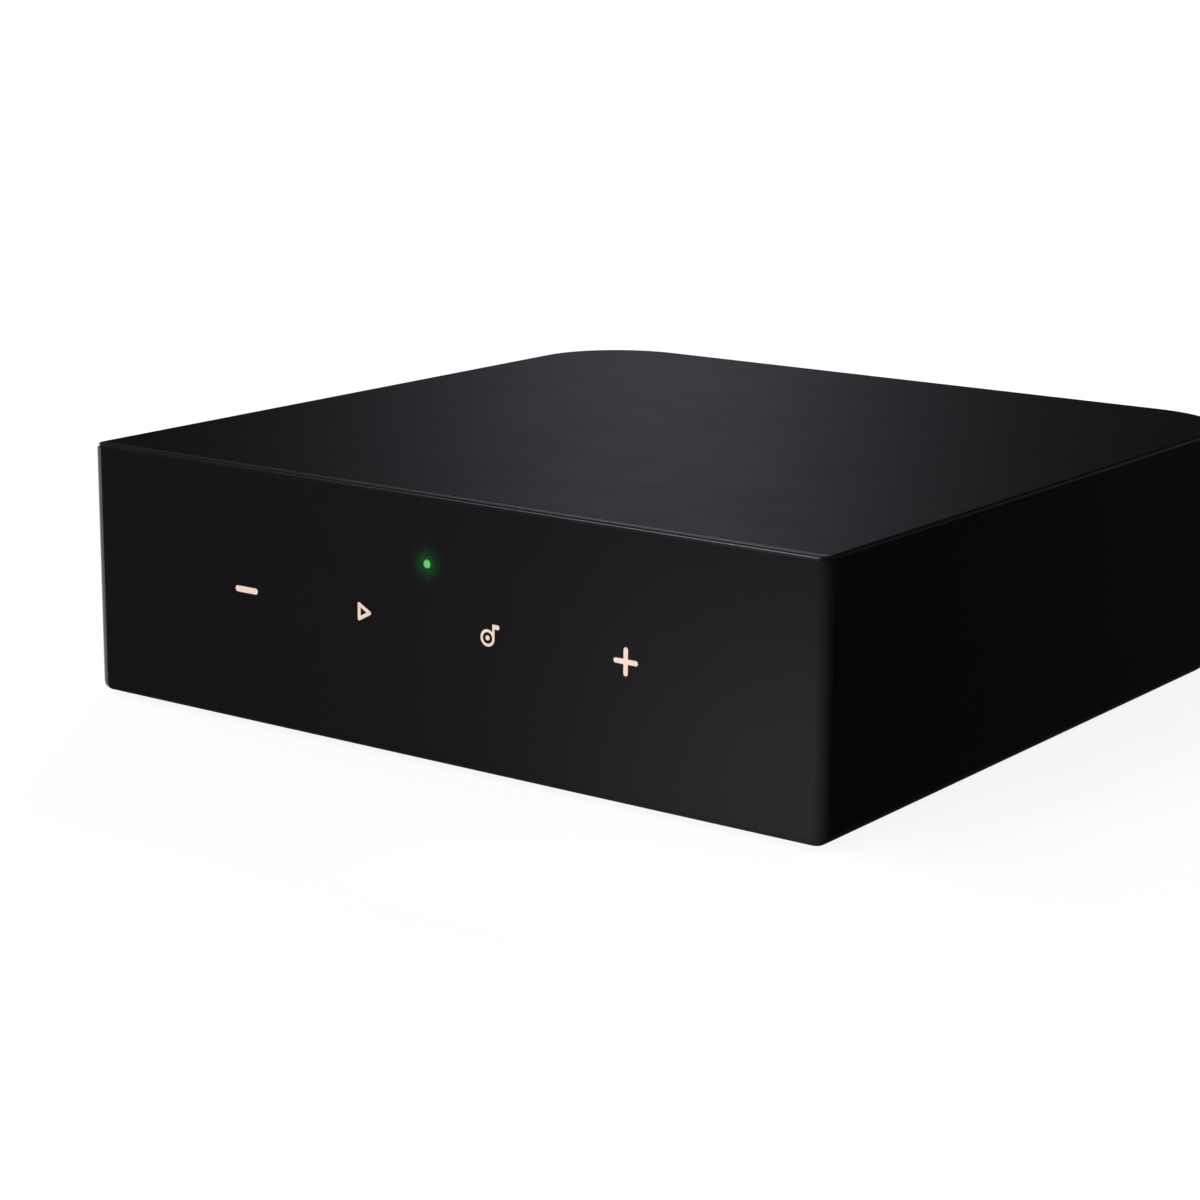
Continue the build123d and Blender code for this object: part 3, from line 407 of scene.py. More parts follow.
def mixed(tree, share, first, second):
    """Colour that goes from first to second as share goes from 0 to 1."""
    blend = node(tree, "ShaderNodeMix", {"Factor": share}, data_type="RGBA")
    colour_a, colour_b, colour_out = blend.inputs[6], blend.inputs[7], blend.outputs[2]
    for socket, value in ((colour_a, first), (colour_b, second)):
        if isinstance(value, bpy.types.NodeSocket):
            tree.links.new(value, socket)
        else:
            socket.default_value = (*value, 1.0)
    return colour_out


def moulded_plastic(
    name, colour, roughness, level, grains=3200.0, depth=0.006 * MM, edge=0.15 * MM, drift=0.06, dust=0.0
):
    """Moulded plastic: grain, slow drift of colour, paler rubbed edges and a little dust."""
    material, tree, sockets = blank_material(name, level=level)
    grain = use_group(tree, mould_grain, Grains_per_metre=grains)
    soft = use_group(tree, soft_edge, Radius=edge)
    shade = use_group(tree, colour_drift, Colour=(*colour, 1.0), Amount=drift)
    base = mixed(tree, soft["Rub"], shade["Colour"], tuple(rubbed_plastic_gain * c for c in colour))
    if dust:
        lying = use_group(tree, settled_dust, Amount=dust)
        base = mixed(tree, lying["Dust"], base, dust_colour)
    tree.links.new(base, sockets["Base Color"])
    vary_roughness(tree, sockets, shade["Patch"], roughness - plastic_swing, roughness + plastic_swing)
    lay_surface(tree, sockets, grain["Height"], soft, depth)
    return material


def plated_metal(name, colour, roughness, lines):
    """Plated or bare metal with its tool's marks, given as lines per metre along each axis."""
    material, tree, sockets = blank_material(name, metal=1.0)
    marks = use_group(tree, tool_marks, Lines_per_metre=lines)
    soft = use_group(tree, soft_edge, Radius=metal_edge)
    shade = use_group(
        tree, colour_drift, Colour=(*colour, 1.0), Amount=metal_drift,
        Patches_per_metre=metal_patches_per_metre,
    )
    worn = mixed(tree, soft["Rub"], shade["Colour"], tuple(min(1.0, rubbed_metal_gain * c) for c in colour))
    tree.links.new(worn, sockets["Base Color"])
    vary_roughness(tree, sockets, shade["Patch"], roughness - metal_smoother, roughness + metal_rougher)
    lay_surface(tree, sockets, marks["Height"], soft, tool_mark_depth)
    return material


def near_lens(tree, reach, falling=1.0):
    """1 at the status light's middle, falling to 0 at the given reach."""
    kind = "ShaderNodeVectorMath"
    from_lens = node(tree, kind, {0: object_place(tree), 1: lens_middle}, operation="SUBTRACT").outputs[0]
    on_panel = node(tree, kind, {0: from_lens, 1: (1.0, 0.0, 1.0)}, operation="MULTIPLY").outputs[0]
    away = node(tree, kind, {0: on_panel}, operation="LENGTH").outputs["Value"]
    fall = {"Value": away, "From Max": reach, "To Min": 1.0, "To Max": 0.0}
    near = node(tree, "ShaderNodeMapRange", fall)
    return math_node(tree, "POWER", near.outputs[0], falling)


def touch_panel():
    """The front panel: the case's plastic, smoother, with a green glow painted round the status light's
    small hole.
    """
    material = moulded_plastic(
        "touch_panel", (0.0118, 0.0118, 0.0130), roughness=0.42, level=0.005, grains=2600.0,
        depth=0.003 * MM,
    )
    tree = material.node_tree
    sockets = tree.nodes["Principled BSDF"].inputs
    polish = use_group(tree, polished_rounding, Upper=upper_polish, Left=left_polish)
    tree.links.new(polish["Polish"], sockets["Coat Weight"])
    sockets["Coat Roughness"].default_value = panel_coat_roughness
    sockets["Coat IOR"].default_value = panel_coat_ior
    # Painted glow: the panel's own surface emits green near the status light, unevenly, though it is no
    # lamp
    glow = near_lens(tree, painted_glow_reach, painted_glow_falling)
    patch = use_group(tree, colour_drift, Amount=0.3, Patches_per_metre=900.0)
    uneven = math_node(tree, "MULTIPLY", glow, patch["Patch"])
    tree.links.new(mixed(tree, uneven, (0.0, 0.0, 0.0), painted_glow_colour), sockets["Emission Color"])
    sockets["Emission Strength"].default_value = 1.0
    return material


def lit_plastic(name, body, middle, rim):
    """Translucent inlay lit from behind, a little uneven where the light guide fades."""
    material, tree, sockets = blank_material(name, level=0.1, Emission_Strength=1.0)
    shade = use_group(tree, colour_drift, Colour=(*body, 1.0), Amount=0.1, Patches_per_metre=1200.0)
    soft = use_group(tree, soft_edge, Radius=inlay_edge, Breakup_per_metre=900.0)
    grain = use_group(tree, mould_grain, Grains_per_metre=6000.0)
    tree.links.new(shade["Colour"], sockets["Base Color"])
    fading = math_node(tree, "MULTIPLY", shade["Patch"], 0.5)
    share = math_node(tree, "MAXIMUM", soft["Rub"], fading)
    tree.links.new(mixed(tree, share, middle, rim), sockets["Emission Color"])
    vary_roughness(
        tree, sockets, shade["Patch"], inlay_roughness - inlay_swing, inlay_roughness + inlay_swing
    )
    lay_surface(tree, sockets, grain["Height"], soft, inlay_depth)
    return material


def status_lens():
    """Green light guide, brightest inside and dark green at its rim."""
    material = lit_plastic("status_lens", (0.01, 0.08, 0.02), (0.12, 0.60, 0.18), (0.09, 0.48, 0.13))
    tree = material.node_tree
    sockets = tree.nodes["Principled BSDF"].inputs
    lit = sockets["Emission Color"].links[0].from_socket
    inner = math_node(tree, "MULTIPLY", near_lens(tree, lens_radius), lens_core_gain, clamp=True)
    tree.links.new(mixed(tree, inner, lens_rim_colour, lit), sockets["Emission Color"])
    return material


def rubber(name, colour, roughness=0.8):
    """Matt rubber or foam with a coarse skin and dust on it."""
    return moulded_plastic(
        name, colour, roughness, level=0.12, grains=2200.0, depth=0.02 * MM, edge=0.25 * MM, drift=0.12,
        dust=0.12
    )


def phono_core(name, colour):
    """Smooth coloured plastic inside a phono jack."""
    return moulded_plastic(name, colour, roughness=0.42, level=0.5, depth=0.004 * MM)


def solder_resist():
    """Green lacquered board, with the faint lines of its copper tracks under the lacquer."""
    material, tree, sockets = blank_material("solder_resist", level=0.5, Coat_Weight=0.3)
    shade = use_group(tree, colour_drift, Colour=(*lacquer_green, 1.0), Amount=0.1)
    soft = use_group(tree, soft_edge, Radius=board_edge)
    cells = node(
        tree,
        "ShaderNodeTexBrick",
        {"Vector": object_place(tree), "Scale": 1.0, "Mortar Size": track_gap, "Brick Width": track_length,
         "Row Height": track_pitch},
        offset=0.5,
    )
    tracks = mixed(tree, cells.outputs["Fac"], shade["Colour"], track_green)
    tree.links.new(mixed(tree, soft["Rub"], tracks, board_edge_colour), sockets["Base Color"])
    vary_roughness(tree, sockets, shade["Patch"], low=0.25, high=0.4)
    lay_surface(tree, sockets, cells.outputs["Fac"], soft, track_proud)
    return material


def make_finishes():
    """Every material slot's finish, by the slot's name."""
    level_lines = (120.0, 120.0, 9000.0)
    upright_lines = (9000.0, 150.0, 150.0)
    turning_lines = (60.0, 14000.0, 60.0)
    return {
        # Painted shade: the case's colour is about a third of the front panel's, though both are the same
        # black plastic, so its top and sides come out darker
        "case_black": moulded_plastic(
            "case_plastic_painted_shade", (0.0038, 0.0039, 0.0044), roughness=0.42, level=0.002, depth=0.004 * MM,
            dust=0.003,
        ),
        "port_panel_black": moulded_plastic(
            "port_panel_plastic", (0.014, 0.014, 0.0147), roughness=0.55, level=0.05, grains=2600.0,
            depth=0.012 * MM,
        ),
        "foot_rubber": rubber("foot_rubber", (0.022, 0.022, 0.022)),
        "screw_steel": plated_metal("black_zinc", (0.16, 0.16, 0.165), 0.38, turning_lines),
        "icon_white": lit_plastic("lit_icon", (0.12, 0.10, 0.09), (0.88, 0.71, 0.61), (0.46, 0.26, 0.18)),
        "status_green": status_lens(),
        "baffle_white": moulded_plastic(
            "baffle_plastic", (0.72, 0.72, 0.69), roughness=0.5, level=0.4, drift=0.04
        ),
        "pad_grey": rubber("pad_foam", (0.28, 0.29, 0.31), roughness=0.85),
        "board_green": solder_resist(),
        "led_resin": moulded_plastic(
            "led_resin", (0.80, 0.76, 0.42), roughness=0.25, level=0.5, grains=9000.0, depth=0.002 * MM
        ),
        "socket_black": moulded_plastic(
            "socket_nylon", (0.014, 0.014, 0.0145), roughness=0.45, level=0.3, grains=4200.0,
            depth=0.008 * MM,
        ),
        "barrel_plate": plated_metal("gold_plate", (0.83, 0.60, 0.26), 0.24, turning_lines),
        "core_white": phono_core("core_white", (0.78, 0.77, 0.73)),
        "core_red": phono_core("core_red", (0.50, 0.018, 0.016)),
        "core_orange": phono_core("core_orange", (0.74, 0.20, 0.018)),
        "contact_gold": plated_metal("contact_gold", (0.86, 0.63, 0.28), 0.22, level_lines),
        "tin_plate": plated_metal("tin_plate", (0.60, 0.60, 0.58), 0.32, upright_lines),
        "collar_steel": plated_metal("nickel_collar", (0.66, 0.65, 0.63), 0.2, turning_lines),
        "spring_steel": plated_metal("spring_steel", (0.55, 0.55, 0.56), 0.3, turning_lines),
        "chip_black": moulded_plastic(
            "chip_epoxy", (0.020, 0.020, 0.022), roughness=0.6, level=0.4, grains=5200.0, depth=0.01 * MM
        ),
        "sink_aluminium": plated_metal("sink_aluminium", (0.62, 0.63, 0.64), 0.4, turning_lines),
        "can_aluminium": plated_metal("can_sleeve", (0.55, 0.55, 0.57), 0.35, level_lines),
        "ferrite_grey": moulded_plastic(
            "ferrite", (0.10, 0.10, 0.105), roughness=0.75, level=0.3, grains=2400.0, depth=0.03 * MM
        ),
        "cable_white": moulded_plastic(
            "ribbon_film", (0.75, 0.75, 0.72), roughness=0.3, level=0.5, grains=1500.0
        ),
        "connector_ivory": moulded_plastic(
            "connector_nylon", (0.70, 0.66, 0.55), roughness=0.45, level=0.4
        ),
        "aerial_film": plated_metal("copper_film", (0.78, 0.40, 0.22), 0.35, upright_lines),
        "lead_grey": rubber("lead_jacket", (0.18, 0.18, 0.19), roughness=0.5),
        "light_element": moulded_plastic(
            "light_window", (0.03, 0.006, 0.006), roughness=0.15, level=0.5, grains=9000.0
        ),
    }


finishes = make_finishes()
slot_of = {part["node"]: part["material_slot"] for part in frame["record"]["subparts"]}


def new_piece(name, mesh, slot, *stands_for):
    """Object for a finished mesh, in its slot's finish, riding on the case."""
    mesh.name = name
    piece = bpy.data.objects.new(name, mesh)
    bpy.context.scene.collection.objects.link(piece)
    mesh.materials.clear()
    mesh.materials.append(finishes[slot])
    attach(piece, "root")
    if stands_for:
        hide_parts(*stands_for)
    return piece


def finish_mesh(name, shape):
    """Closes and orients a bmesh, and shades it smooth but for its sharp edges."""
    bmesh.ops.remove_doubles(shape, verts=shape.verts, dist=weld)
    bmesh.ops.delete(shape, geom=[edge for edge in shape.edges if edge.is_wire], context="EDGES")
    bmesh.ops.recalc_face_normals(shape, faces=shape.faces)
    for face in shape.faces:
        face.smooth = True
    for edge in shape.edges:
        edge.smooth = len(edge.link_faces) == 2 and edge.calc_face_angle() < smooth_limit
    mesh = bpy.data.meshes.new(name)
    shape.to_mesh(mesh)
    shape.free()
    return mesh


def rings_mesh(name, rings, closed_outline=True):
    """Mesh of equal rings of points, each joined to the next.

    A closed outline joins the last ring to the first, and an open one gets a face at each end.
    """
    shape = bmesh.new()
    rows = [[shape.verts.new(point) for point in ring] for ring in rings]
    pairs = zip(rows, rows[1:] + rows[:1]) if closed_outline else zip(rows, rows[1:])
    for low, high in pairs:
        for step in range(len(low)):
            after = (step + 1) % len(low)
            shape.faces.new((low[step], low[after], high[after], high[step]))
    if not closed_outline:
        shape.faces.new(rows[0])
        shape.faces.new(rows[-1])
    return finish_mesh(name, shape)


def turned(name, outline, sides):
    """Part turned about the Y axis from an outline of (radius, distance along Y)."""
    angles = [2 * math.pi * side / sides for side in range(sides)]
    rings = [
        [(radius * math.cos(a), along, radius * math.sin(a)) for a in angles] for radius, along in outline
    ]
    return rings_mesh(name, rings)


def arc(middle, radius, start, end, steps=5):
    """Points of an arc in a plane, from one angle to another in degrees."""
    angles = [math.radians(start + (end - start) * step / steps) for step in range(steps + 1)]
    return [(middle[0] + radius * math.cos(a), middle[1] + radius * math.sin(a)) for a in angles]


def sleeve_outline(length, root_length, radius):
    """Section of a plated sleeve: a root, a shoulder, shallow grooves and a rolled lip."""
    outline = [(sleeve_bore, 0.0), (sleeve_root_radius, 0.0)]
    outline += [(sleeve_root_radius, root_length), (radius, root_length)]
    floor = radius - sleeve_groove_depth
    for groove in range(sleeve_groove_count):
        start = root_length + sleeve_groove_gap + groove * (sleeve_groove_width + sleeve_groove_gap)
        end = start + sleeve_groove_width
        outline += [(radius, start), (floor, start + sleeve_groove_depth)]
        outline += [(floor, end), (radius, end + sleeve_groove_depth)]
    outline += arc((radius - sleeve_lip, length - sleeve_lip), sleeve_lip, 0, 90)
    outline += arc((sleeve_bore + sleeve_lip, length - sleeve_lip), sleeve_lip, 90, 180)
    return outline


def geometry_tree(name, inputs):
    """Geometry node tree that takes a geometry and its named inputs, with its entry and exit nodes."""
    tree = bpy.data.node_groups.new(name, "GeometryNodeTree")
    tree.interface.new_socket("Geometry", in_out="INPUT", socket_type="NodeSocketGeometry")
    for label, kind in inputs:
        tree.interface.new_socket(label, in_out="INPUT", socket_type=kind)
    tree.interface.new_socket("Geometry", in_out="OUTPUT", socket_type="NodeSocketGeometry")
    return tree, tree.nodes.new("NodeGroupInput").outputs, tree.nodes.new("NodeGroupOutput")


def end_tree(tree, exit_node, instances, material):
    """Makes the copies real, gives them their material and ends the tree."""
    real = node(tree, "GeometryNodeRealizeInstances", {"Geometry": instances}).outputs[0]
    painted = node(tree, "GeometryNodeSetMaterial", {"Geometry": real, "Material": material}).outputs[0]
    tree.links.new(painted, exit_node.inputs[0])


def rows_tree():
    """Copies of the given part in a row, and copies of that row beside each other."""
    tree, given, end = geometry_tree("copies_in_rows", [
        ("First", "NodeSocketVector"),
        ("Count", "NodeSocketInt"),
        ("Step", "NodeSocketVector"),
        ("Rows", "NodeSocketInt"),
        ("Row step", "NodeSocketVector"),
        ("Material", "NodeSocketMaterial"),
    ])

    def points_in_line(**values):
        sockets = {label.replace("_", " "): value for label, value in values.items()}
        return node(tree, "GeometryNodeMeshLine", sockets, mode="OFFSET").outputs[0]

    def copies(points, part):
        return node(tree, "GeometryNodeInstanceOnPoints", {"Points": points, "Instance": part}).outputs[0]

    along = points_in_line(Count=given["Count"], Start_Location=given["First"], Offset=given["Step"])
    across = points_in_line(Count=given["Rows"], Offset=given["Row step"])
    row = copies(along, given["Geometry"])
    end_tree(tree, end, copies(across, row), given["Material"])
    return tree


def screw_tree():
    """Domed screw head with a cross recess, cut from plain solids and joined to its threaded shank."""
    tree, given, end = geometry_tree("cross_head", [
        ("Head radius", "NodeSocketFloat"),
        ("Head height", "NodeSocketFloat"),
        ("Dome radius", "NodeSocketFloat"),
        ("Recess length", "NodeSocketFloat"),
        ("Recess width", "NodeSocketFloat"),
        ("Recess depth", "NodeSocketFloat"),
        ("Material", "NodeSocketMaterial"),
    ])

    def product(a, b):
        return math_node(tree, "MULTIPLY", a, b)

    def lifted(geometry, height):
        offset = node(tree, "ShaderNodeCombineXYZ", {"Z": height}).outputs[0]
        return node(tree, "GeometryNodeTransform", {"Geometry": geometry, "Translation": offset}).outputs[0]

    radius, height, dome = given["Head radius"], given["Head height"], given["Dome radius"]
    drum = node(
        tree, "GeometryNodeMeshCylinder", {"Vertices": screw_head_sides, "Radius": radius, "Depth": height}
    ).outputs[0]
    drum = lifted(drum, product(height, 0.5))
    ball = node(
        tree, "GeometryNodeMeshUVSphere",
        {"Segments": screw_head_sides, "Rings": screw_dome_rings, "Radius": dome},
    ).outputs[0]
    ball = lifted(ball, dome)
    boolean = "GeometryNodeMeshBoolean"
    head = node(tree, boolean, operation="INTERSECT", solver="EXACT")
    tree.links.new(drum, head.inputs["Mesh 2"])
    tree.links.new(ball, head.inputs["Mesh 2"])
    length, width = given["Recess length"], given["Recess width"]
    depth = product(given["Recess depth"], 2.0)
    cut = node(tree, boolean, {"Mesh 1": head.outputs[0]}, operation="DIFFERENCE", solver="EXACT")
    for x, y in ((length, width), (width, length)):
        size = node(tree, "ShaderNodeCombineXYZ", {"X": x, "Y": y, "Z": depth}).outputs[0]
        bar = node(tree, "GeometryNodeMeshCube", {"Size": size}).outputs[0]
        tree.links.new(bar, cut.inputs["Mesh 2"])
    joined = tree.nodes.new("GeometryNodeJoinGeometry")
    tree.links.new(given["Geometry"], joined.inputs[0])
    tree.links.new(cut.outputs[0], joined.inputs[0])
    end_tree(tree, end, joined.outputs[0], given["Material"])
    return tree


def grown(name, mesh, tree, **inputs):
    """Plain mesh that a node tree makes from a base mesh with the given inputs."""
    base = bpy.data.objects.new(name, mesh)
    bpy.context.scene.collection.objects.link(base)
    modifier = base.modifiers.new(name, "NODES")
    sockets = {item.name: item.identifier for item in tree.interface.items_tree if item.in_out == "INPUT"}
    modifier.node_group = tree
    for label, value in inputs.items():
        modifier[sockets[label.replace("_", " ")]] = value
    graph = bpy.context.evaluated_depsgraph_get()
    made = bpy.data.meshes.new_from_object(base.evaluated_get(graph), depsgraph=graph)
    base.modifiers.remove(modifier)
    bpy.data.objects.remove(base)
    return made


copies_in_rows = rows_tree()
cross_head = screw_tree()


def in_rows(name, base, slot, first, count=1, step=(0, 0, 0), rows=1, row_step=(0, 0, 0)):
    """One mesh of copies of the base in rows, from the first one's place, in their slot's finish."""
    return grown(
        name, base, copies_in_rows, First=first, Count=count, Step=step, Rows=rows, Row_step=row_step,
        Material=finishes[slot],
    )


def phono_sleeves():
    """Plated sleeves of the five phono jacks, one piece for each column."""
    slot = "barrel_plate"
    for name, count in (("line_in_barrels", 2), ("line_out_barrels", 2), ("coax_barrels", 1)):
        low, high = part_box(name)
        radius = (high.x - low.x) / 2
        length = high.y - low.y
        sleeve = turned("sleeve", sleeve_outline(length, length - sleeve_shoulder, radius), sleeve_sides)
        lowest = (low.x + radius, low.y, low.z + radius)
        mesh = in_rows(name + "_sleeves", sleeve, slot, lowest, rows=count, row_step=(0, 0, jack_pitch))
        new_piece(name + "_plated", mesh, slot, name)


def thread_outline():
    """Section of a screw's shank under its head, with a row of thread crests and a point."""
    turns = int(screw_shank_length / screw_thread_pitch)
    outline = [(0.0, screw_head_height)]
    for turn in range(turns):
        foot = screw_head_height + turn * screw_thread_pitch
        outline.append((screw_shank_radius - screw_thread_depth, foot))
        outline.append((screw_shank_radius, foot + screw_thread_pitch / 2))
    outline.append((0.0, screw_head_height + screw_shank_length))
    return outline


def case_screws():
    """Four domed cross-head screws, sunk in the underside."""
    slot = "screw_steel"
    shank = turned("shank", thread_outline(), screw_shank_sides)
    shank.transform(Euler((math.pi / 2, 0.0, 0.0)).to_matrix().to_4x4())
    screw = grown(
        "screw", shank, cross_head, Head_radius=screw_head_radius, Head_height=screw_head_height,
        Dome_radius=screw_dome_radius, Recess_length=screw_recess_length, Recess_width=screw_recess_width,
        Recess_depth=screw_recess_depth, Material=finishes[slot],
    )
    mesh = in_rows(
        "screws", screw, slot, screw_middle - screw_grid / 2, count=2, step=(screw_grid.x, 0, 0),
        rows=2, row_step=(0, screw_grid.y, 0),
    )
    new_piece("case_screws", mesh, slot, "base_screws")


def foot_section(height):
    """Section of the rubber band as (inset from its outer edge, height), grooved underneath."""
    points = [(0.0, height), (0.0, foot_edge), (foot_edge, 0.0)]
    land = (foot_band - foot_groove_count * foot_groove_width) / (foot_groove_count + 1)
    for step in range(foot_groove_count):
        start = land + step * (land + foot_groove_width)
        points += [(start, 0.0), (start + foot_groove_depth / 2, foot_groove_depth)]
        points += [(start + foot_groove_width - foot_groove_depth / 2, foot_groove_depth)]
        points += [(start + foot_groove_width, 0.0)]
    return points + [(foot_band - foot_edge, 0.0), (foot_band, foot_edge), (foot_band, height)]


def rounded_square(half, radius, height, steps=16):
    """Points round a square with rounded corners."""
    ring = []
    for quarter in range(4):
        start = quarter * 90
        middle = Vector((half - radius, half - radius))
        middle.rotate(Euler((0, 0, math.radians(start))).to_matrix().to_2x2())
        ring += [(x, y, height) for x, y in arc(middle, radius, start, start + 90, steps)]
    return ring


def grooved_foot():
    """Rubber foot ring with grooves in its tread."""
    low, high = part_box("foot_ring")
    rings = [
        rounded_square(high.x - inset, foot_corner - inset, low.z + height)
        for inset, height in foot_section(high.z - low.z)
    ]
    new_piece("foot_ring_grooved", rings_mesh("foot_ring_grooved", rings), "foot_rubber", "foot_ring")


def bent_strip(name, line, x, width, thickness):
    """Strip of metal round a line in the plane of Y and Z."""
    rings = []
    for step, (y, z) in enumerate(line):
        before = line[max(step - 1, 0)]
        after = line[min(step + 1, len(line) - 1)]
        along = Vector((after[0] - before[0], after[1] - before[1])).normalized()
        side = Vector((along.y, -along.x)) * thickness / 2
        rings.append([
            (x - width / 2, y - side.x, z - side.y), (x + width / 2, y - side.x, z - side.y),
            (x + width / 2, y + side.x, z + side.y), (x - width / 2, y + side.x, z + side.y),
        ])
    return rings_mesh(name, rings, closed_outline=False)


def bent_contact():
    """One spring contact: a flat stretch, a rounded bend and a slope."""
    slope = math.atan2(contact_slope_drop, contact_slope_run)
    bend_start = contact_bend * math.tan(slope / 2) - contact_flat
    line = [(0.0, 0.0)]
    for step in range(contact_bend_steps + 1):
        turn = slope * step / contact_bend_steps
        line.append((bend_start - contact_bend * math.sin(turn), contact_bend * (math.cos(turn) - 1)))
    line.append((-contact_flat - contact_slope_run, -contact_slope_drop))
    raised = [(y, z + contact_width / 2) for y, z in line]
    return bent_strip("contact", raised, 0.0, contact_width, contact_width)


def leaf_springs():
    """Leaf springs over the optical shutters, curving down from a flat foot."""
    for side in ("in", "out"):
        node_name = f"optical_{side}_spring"
        low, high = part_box(node_name)
        top = high.z - leaf_thickness / 2
        drop = high.z - low.z - leaf_thickness
        bend = low.y + leaf_foot
        line = [(low.y, top)]
        for step in range(leaf_steps + 1):
            share = step / leaf_steps
            line.append((bend + share * (high.y - bend), top - drop * math.sin(leaf_sweep * share)))
        x = (low.x + high.x) / 2
        mesh = bent_strip(node_name + "_leaf", line, x, high.x - low.x, leaf_thickness)
        leaf = new_piece(node_name + "_leaf", mesh, slot_of[node_name], node_name)
        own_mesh(leaf)


def network_springs():
    """Gold springs in the network socket."""
    slot = "contact_gold"
    low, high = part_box("network_contacts")
    first = Vector((low.x + contact_width / 2, high.y, high.z - contact_width))
    mesh = in_rows(
        "springs", bent_contact(), slot, first, count=contact_count, step=(contact_pitch, 0, 0)
    )
    new_piece("network_springs", mesh, slot, "network_contacts")


def contact_pad():
    """One flat contact pad with rounded ends."""
    end = pad_width / 2
    middle = pad_length / 2 - end
    outline = arc((0, middle), end, 0, 180, pad_end_steps) + arc((0, -middle), end, 180, 360, pad_end_steps)
    low = [(x, y, 0.0) for x, y in outline]
    high = [(x * pad_top_width_share, y * pad_top_length_share, pad_proud) for x, y in outline]
    return rings_mesh("pad", [low, high], closed_outline=False)


def power_pads():
    """Two rows of gold pads, on the upper and lower face of the power socket's tongue."""
    slot = "contact_gold"
    low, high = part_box("power_tongue")
    middle = (low + high) / 2
    above = Vector((
        middle.x - pad_pitch * (pad_count - 1) / 2, high.y - pad_length / 2 - 2 * pad_width,
        middle.z + tongue_thickness / 2,
    ))
    below = above - Vector((0, 0, tongue_thickness))
    pad = contact_pad()
    turned_over = pad.copy()
    turned_over.transform(Euler((0.0, math.pi, 0.0)).to_matrix().to_4x4())
    for name, base, first in (("power_pads_upper", pad, above), ("power_pads_lower", turned_over, below)):
        mesh = in_rows(name, base, slot, first, count=pad_count, step=(pad_pitch, 0, 0))
        new_piece(name, mesh, slot)


def dress_solids():
    """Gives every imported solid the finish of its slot."""
    for name, solid in frame["nodes"].items():
        solid.data.materials.clear()
        solid.data.materials.append(finishes[slot_of[name]])
    frame["nodes"]["front_panel"].data.materials[0] = touch_panel()


def pale_floor():
    """Wide pale floor, white to the camera and in reflections, that keeps a soft shadow."""
    mesh = bpy.data.meshes.new("floor")
    corners = [(x * floor_half, y * floor_half, 0.0) for x, y in ((-1, -1), (1, -1), (1, 1), (-1, 1))]
    mesh.from_pydata(corners, [], [(0, 1, 2, 3)])
    floor = bpy.data.objects.new("floor", mesh)
    bpy.context.scene.collection.objects.link(floor)
    material, tree, sockets = blank_material("pale_floor", level=0.0)
    sockets["Roughness"].default_value = 1.0
    grey = (floor_grey,) * 3 + (1.0,)
    mottle = use_group(tree, colour_drift, Colour=grey, Amount=0.02, Patches_per_metre=3.0)
    tree.links.new(mottle["Colour"], sockets["Base Color"])
    ray = tree.nodes.new("ShaderNodeLightPath").outputs
    seen = math_node(tree, "MAXIMUM", ray["Is Camera Ray"], ray["Is Glossy Ray"])
    seen = math_node(tree, "MAXIMUM", seen, ray["Is Transmission Ray"])
    away = node(tree, "ShaderNodeVectorMath", {0: object_place(tree)}, operation="LENGTH").outputs["Value"]
    paler = node(tree, "ShaderNodeMapRange", {
        "Value": away, "From Min": floor_near, "From Max": floor_far,
        "To Min": floor_white_near, "To Max": floor_white_far,
    })
    white = math_node(tree, "MULTIPLY", seen, paler.outputs[0])
    sockets["Emission Color"].default_value = (1.0, 1.0, 1.0, 1.0)
    tree.links.new(white, sockets["Emission Strength"])
    mesh.materials.append(material)


def soft_lamp(name, place, aim, width, height, watts, colour=(1.0, 1.0, 1.0)):
    """Rectangular softbox at place, turned to aim, that the camera itself doesn't see."""
    data = bpy.data.lights.new(name, "AREA")
    data.shape = "RECTANGLE"
    data.size = width
    data.size_y = height
    data.energy = watts
    data.color = colour
    lamp = bpy.data.objects.new(name, data)
    lamp.location = place
    lamp.rotation_euler = (Vector(aim) - Vector(place)).to_track_quat("-Z", "Y").to_euler()
    lamp.visible_camera = False
    bpy.context.scene.collection.objects.link(lamp)


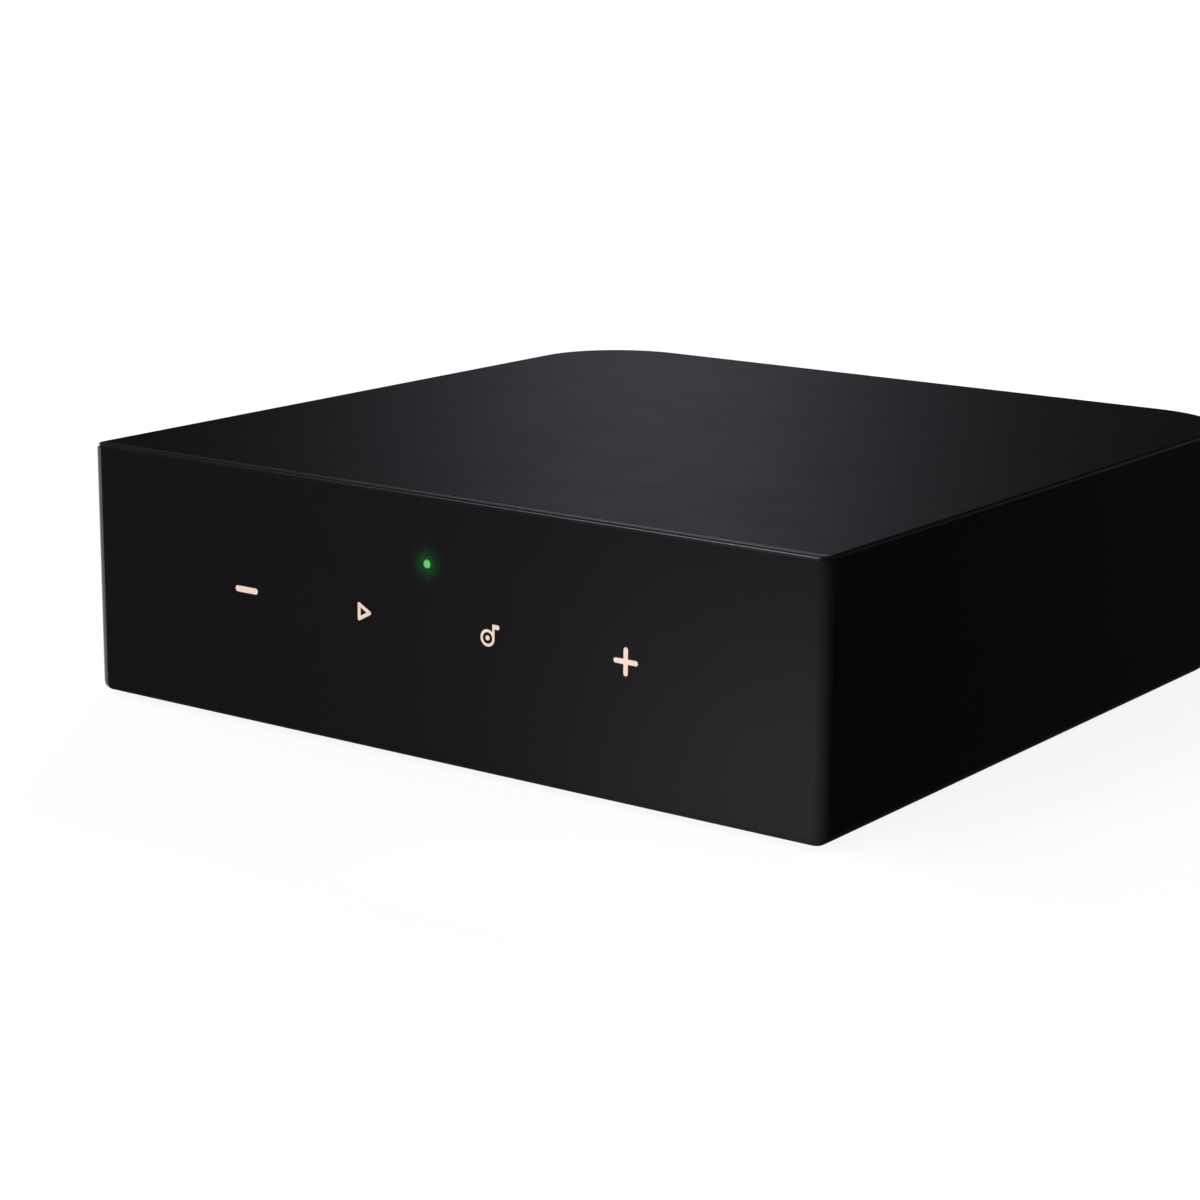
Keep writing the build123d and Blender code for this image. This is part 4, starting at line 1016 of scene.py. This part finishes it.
def light_studio():
    """Soft light from above, front, left and rear, a far strip, two small near lamps and a dim room."""
    soft_lamp(
        "overhead_softbox", place=(-0.58, -0.35, 1.30), aim=(0, -0.07, 0.04),
        width=0.45, height=0.6, watts=6.3,
    )
    soft_lamp(
        "front_softbox", place=(-0.45, -1.45, 0.65), aim=(0, 0, 0.02),
        width=0.9, height=0.9, watts=12.5,
    )
    soft_lamp(
        "left_softbox", place=(-1.50, 0.10, 0.40), aim=(0, 0, 0.02),
        width=0.7, height=0.5, watts=9.0,
    )
    soft_lamp(
        "rear_softbox", place=(0.40, 1.46, 0.55), aim=(0, 0, 0.02),
        width=0.6, height=0.5, watts=11.5,
    )
    soft_lamp(
        "near_softbox", place=(0.03, -0.19, 0.025), aim=(0.045, -0.07, 0.012),
        width=0.08, height=0.04, watts=0.008,
    )
    soft_lamp(
        "low_softbox", place=(0.066, -0.122, 0.004), aim=(0.066, -0.07, 0.001),
        width=0.03, height=0.006, watts=0.036,
    )
    turn = camera_turn - strip_aside
    behind = (-math.sin(turn) * strip_distance, math.cos(turn) * strip_distance, strip_height)
    soft_lamp(
        "rear_strip", place=behind, aim=(0, 0, 0.04), width=0.28, height=1.0, watts=16.5, colour=strip_blue
    )
    world = bpy.data.worlds.new("dim_room")
    world.use_nodes = True
    world.node_tree.nodes["Background"].inputs["Color"].default_value = (room_grey,) * 3 + (1.0,)
    bpy.context.scene.world = world


def set_camera():
    """Camera at the place, turn and lens that were solved from the picture."""
    data = bpy.data.cameras.new("camera")
    data.lens = camera_lens
    data.sensor_width = camera_sensor
    data.sensor_fit = "HORIZONTAL"
    data.clip_start = nearest_seen
    data.clip_end = farthest_seen
    camera = bpy.data.objects.new("camera", data)
    camera.location = camera_place
    turn = Euler((math.pi / 2 - camera_dip, 0.0, camera_turn)).to_matrix()
    camera.rotation_euler = (turn @ Euler((0.0, 0.0, camera_roll)).to_matrix()).to_euler()
    bpy.context.scene.collection.objects.link(camera)
    bpy.context.scene.camera = camera
    bpy.context.scene.view_settings.view_transform = "Standard"


dress_solids()
phono_sleeves()
case_screws()
grooved_foot()
network_springs()
leaf_springs()
power_pads()
pale_floor()
light_studio()
set_camera()
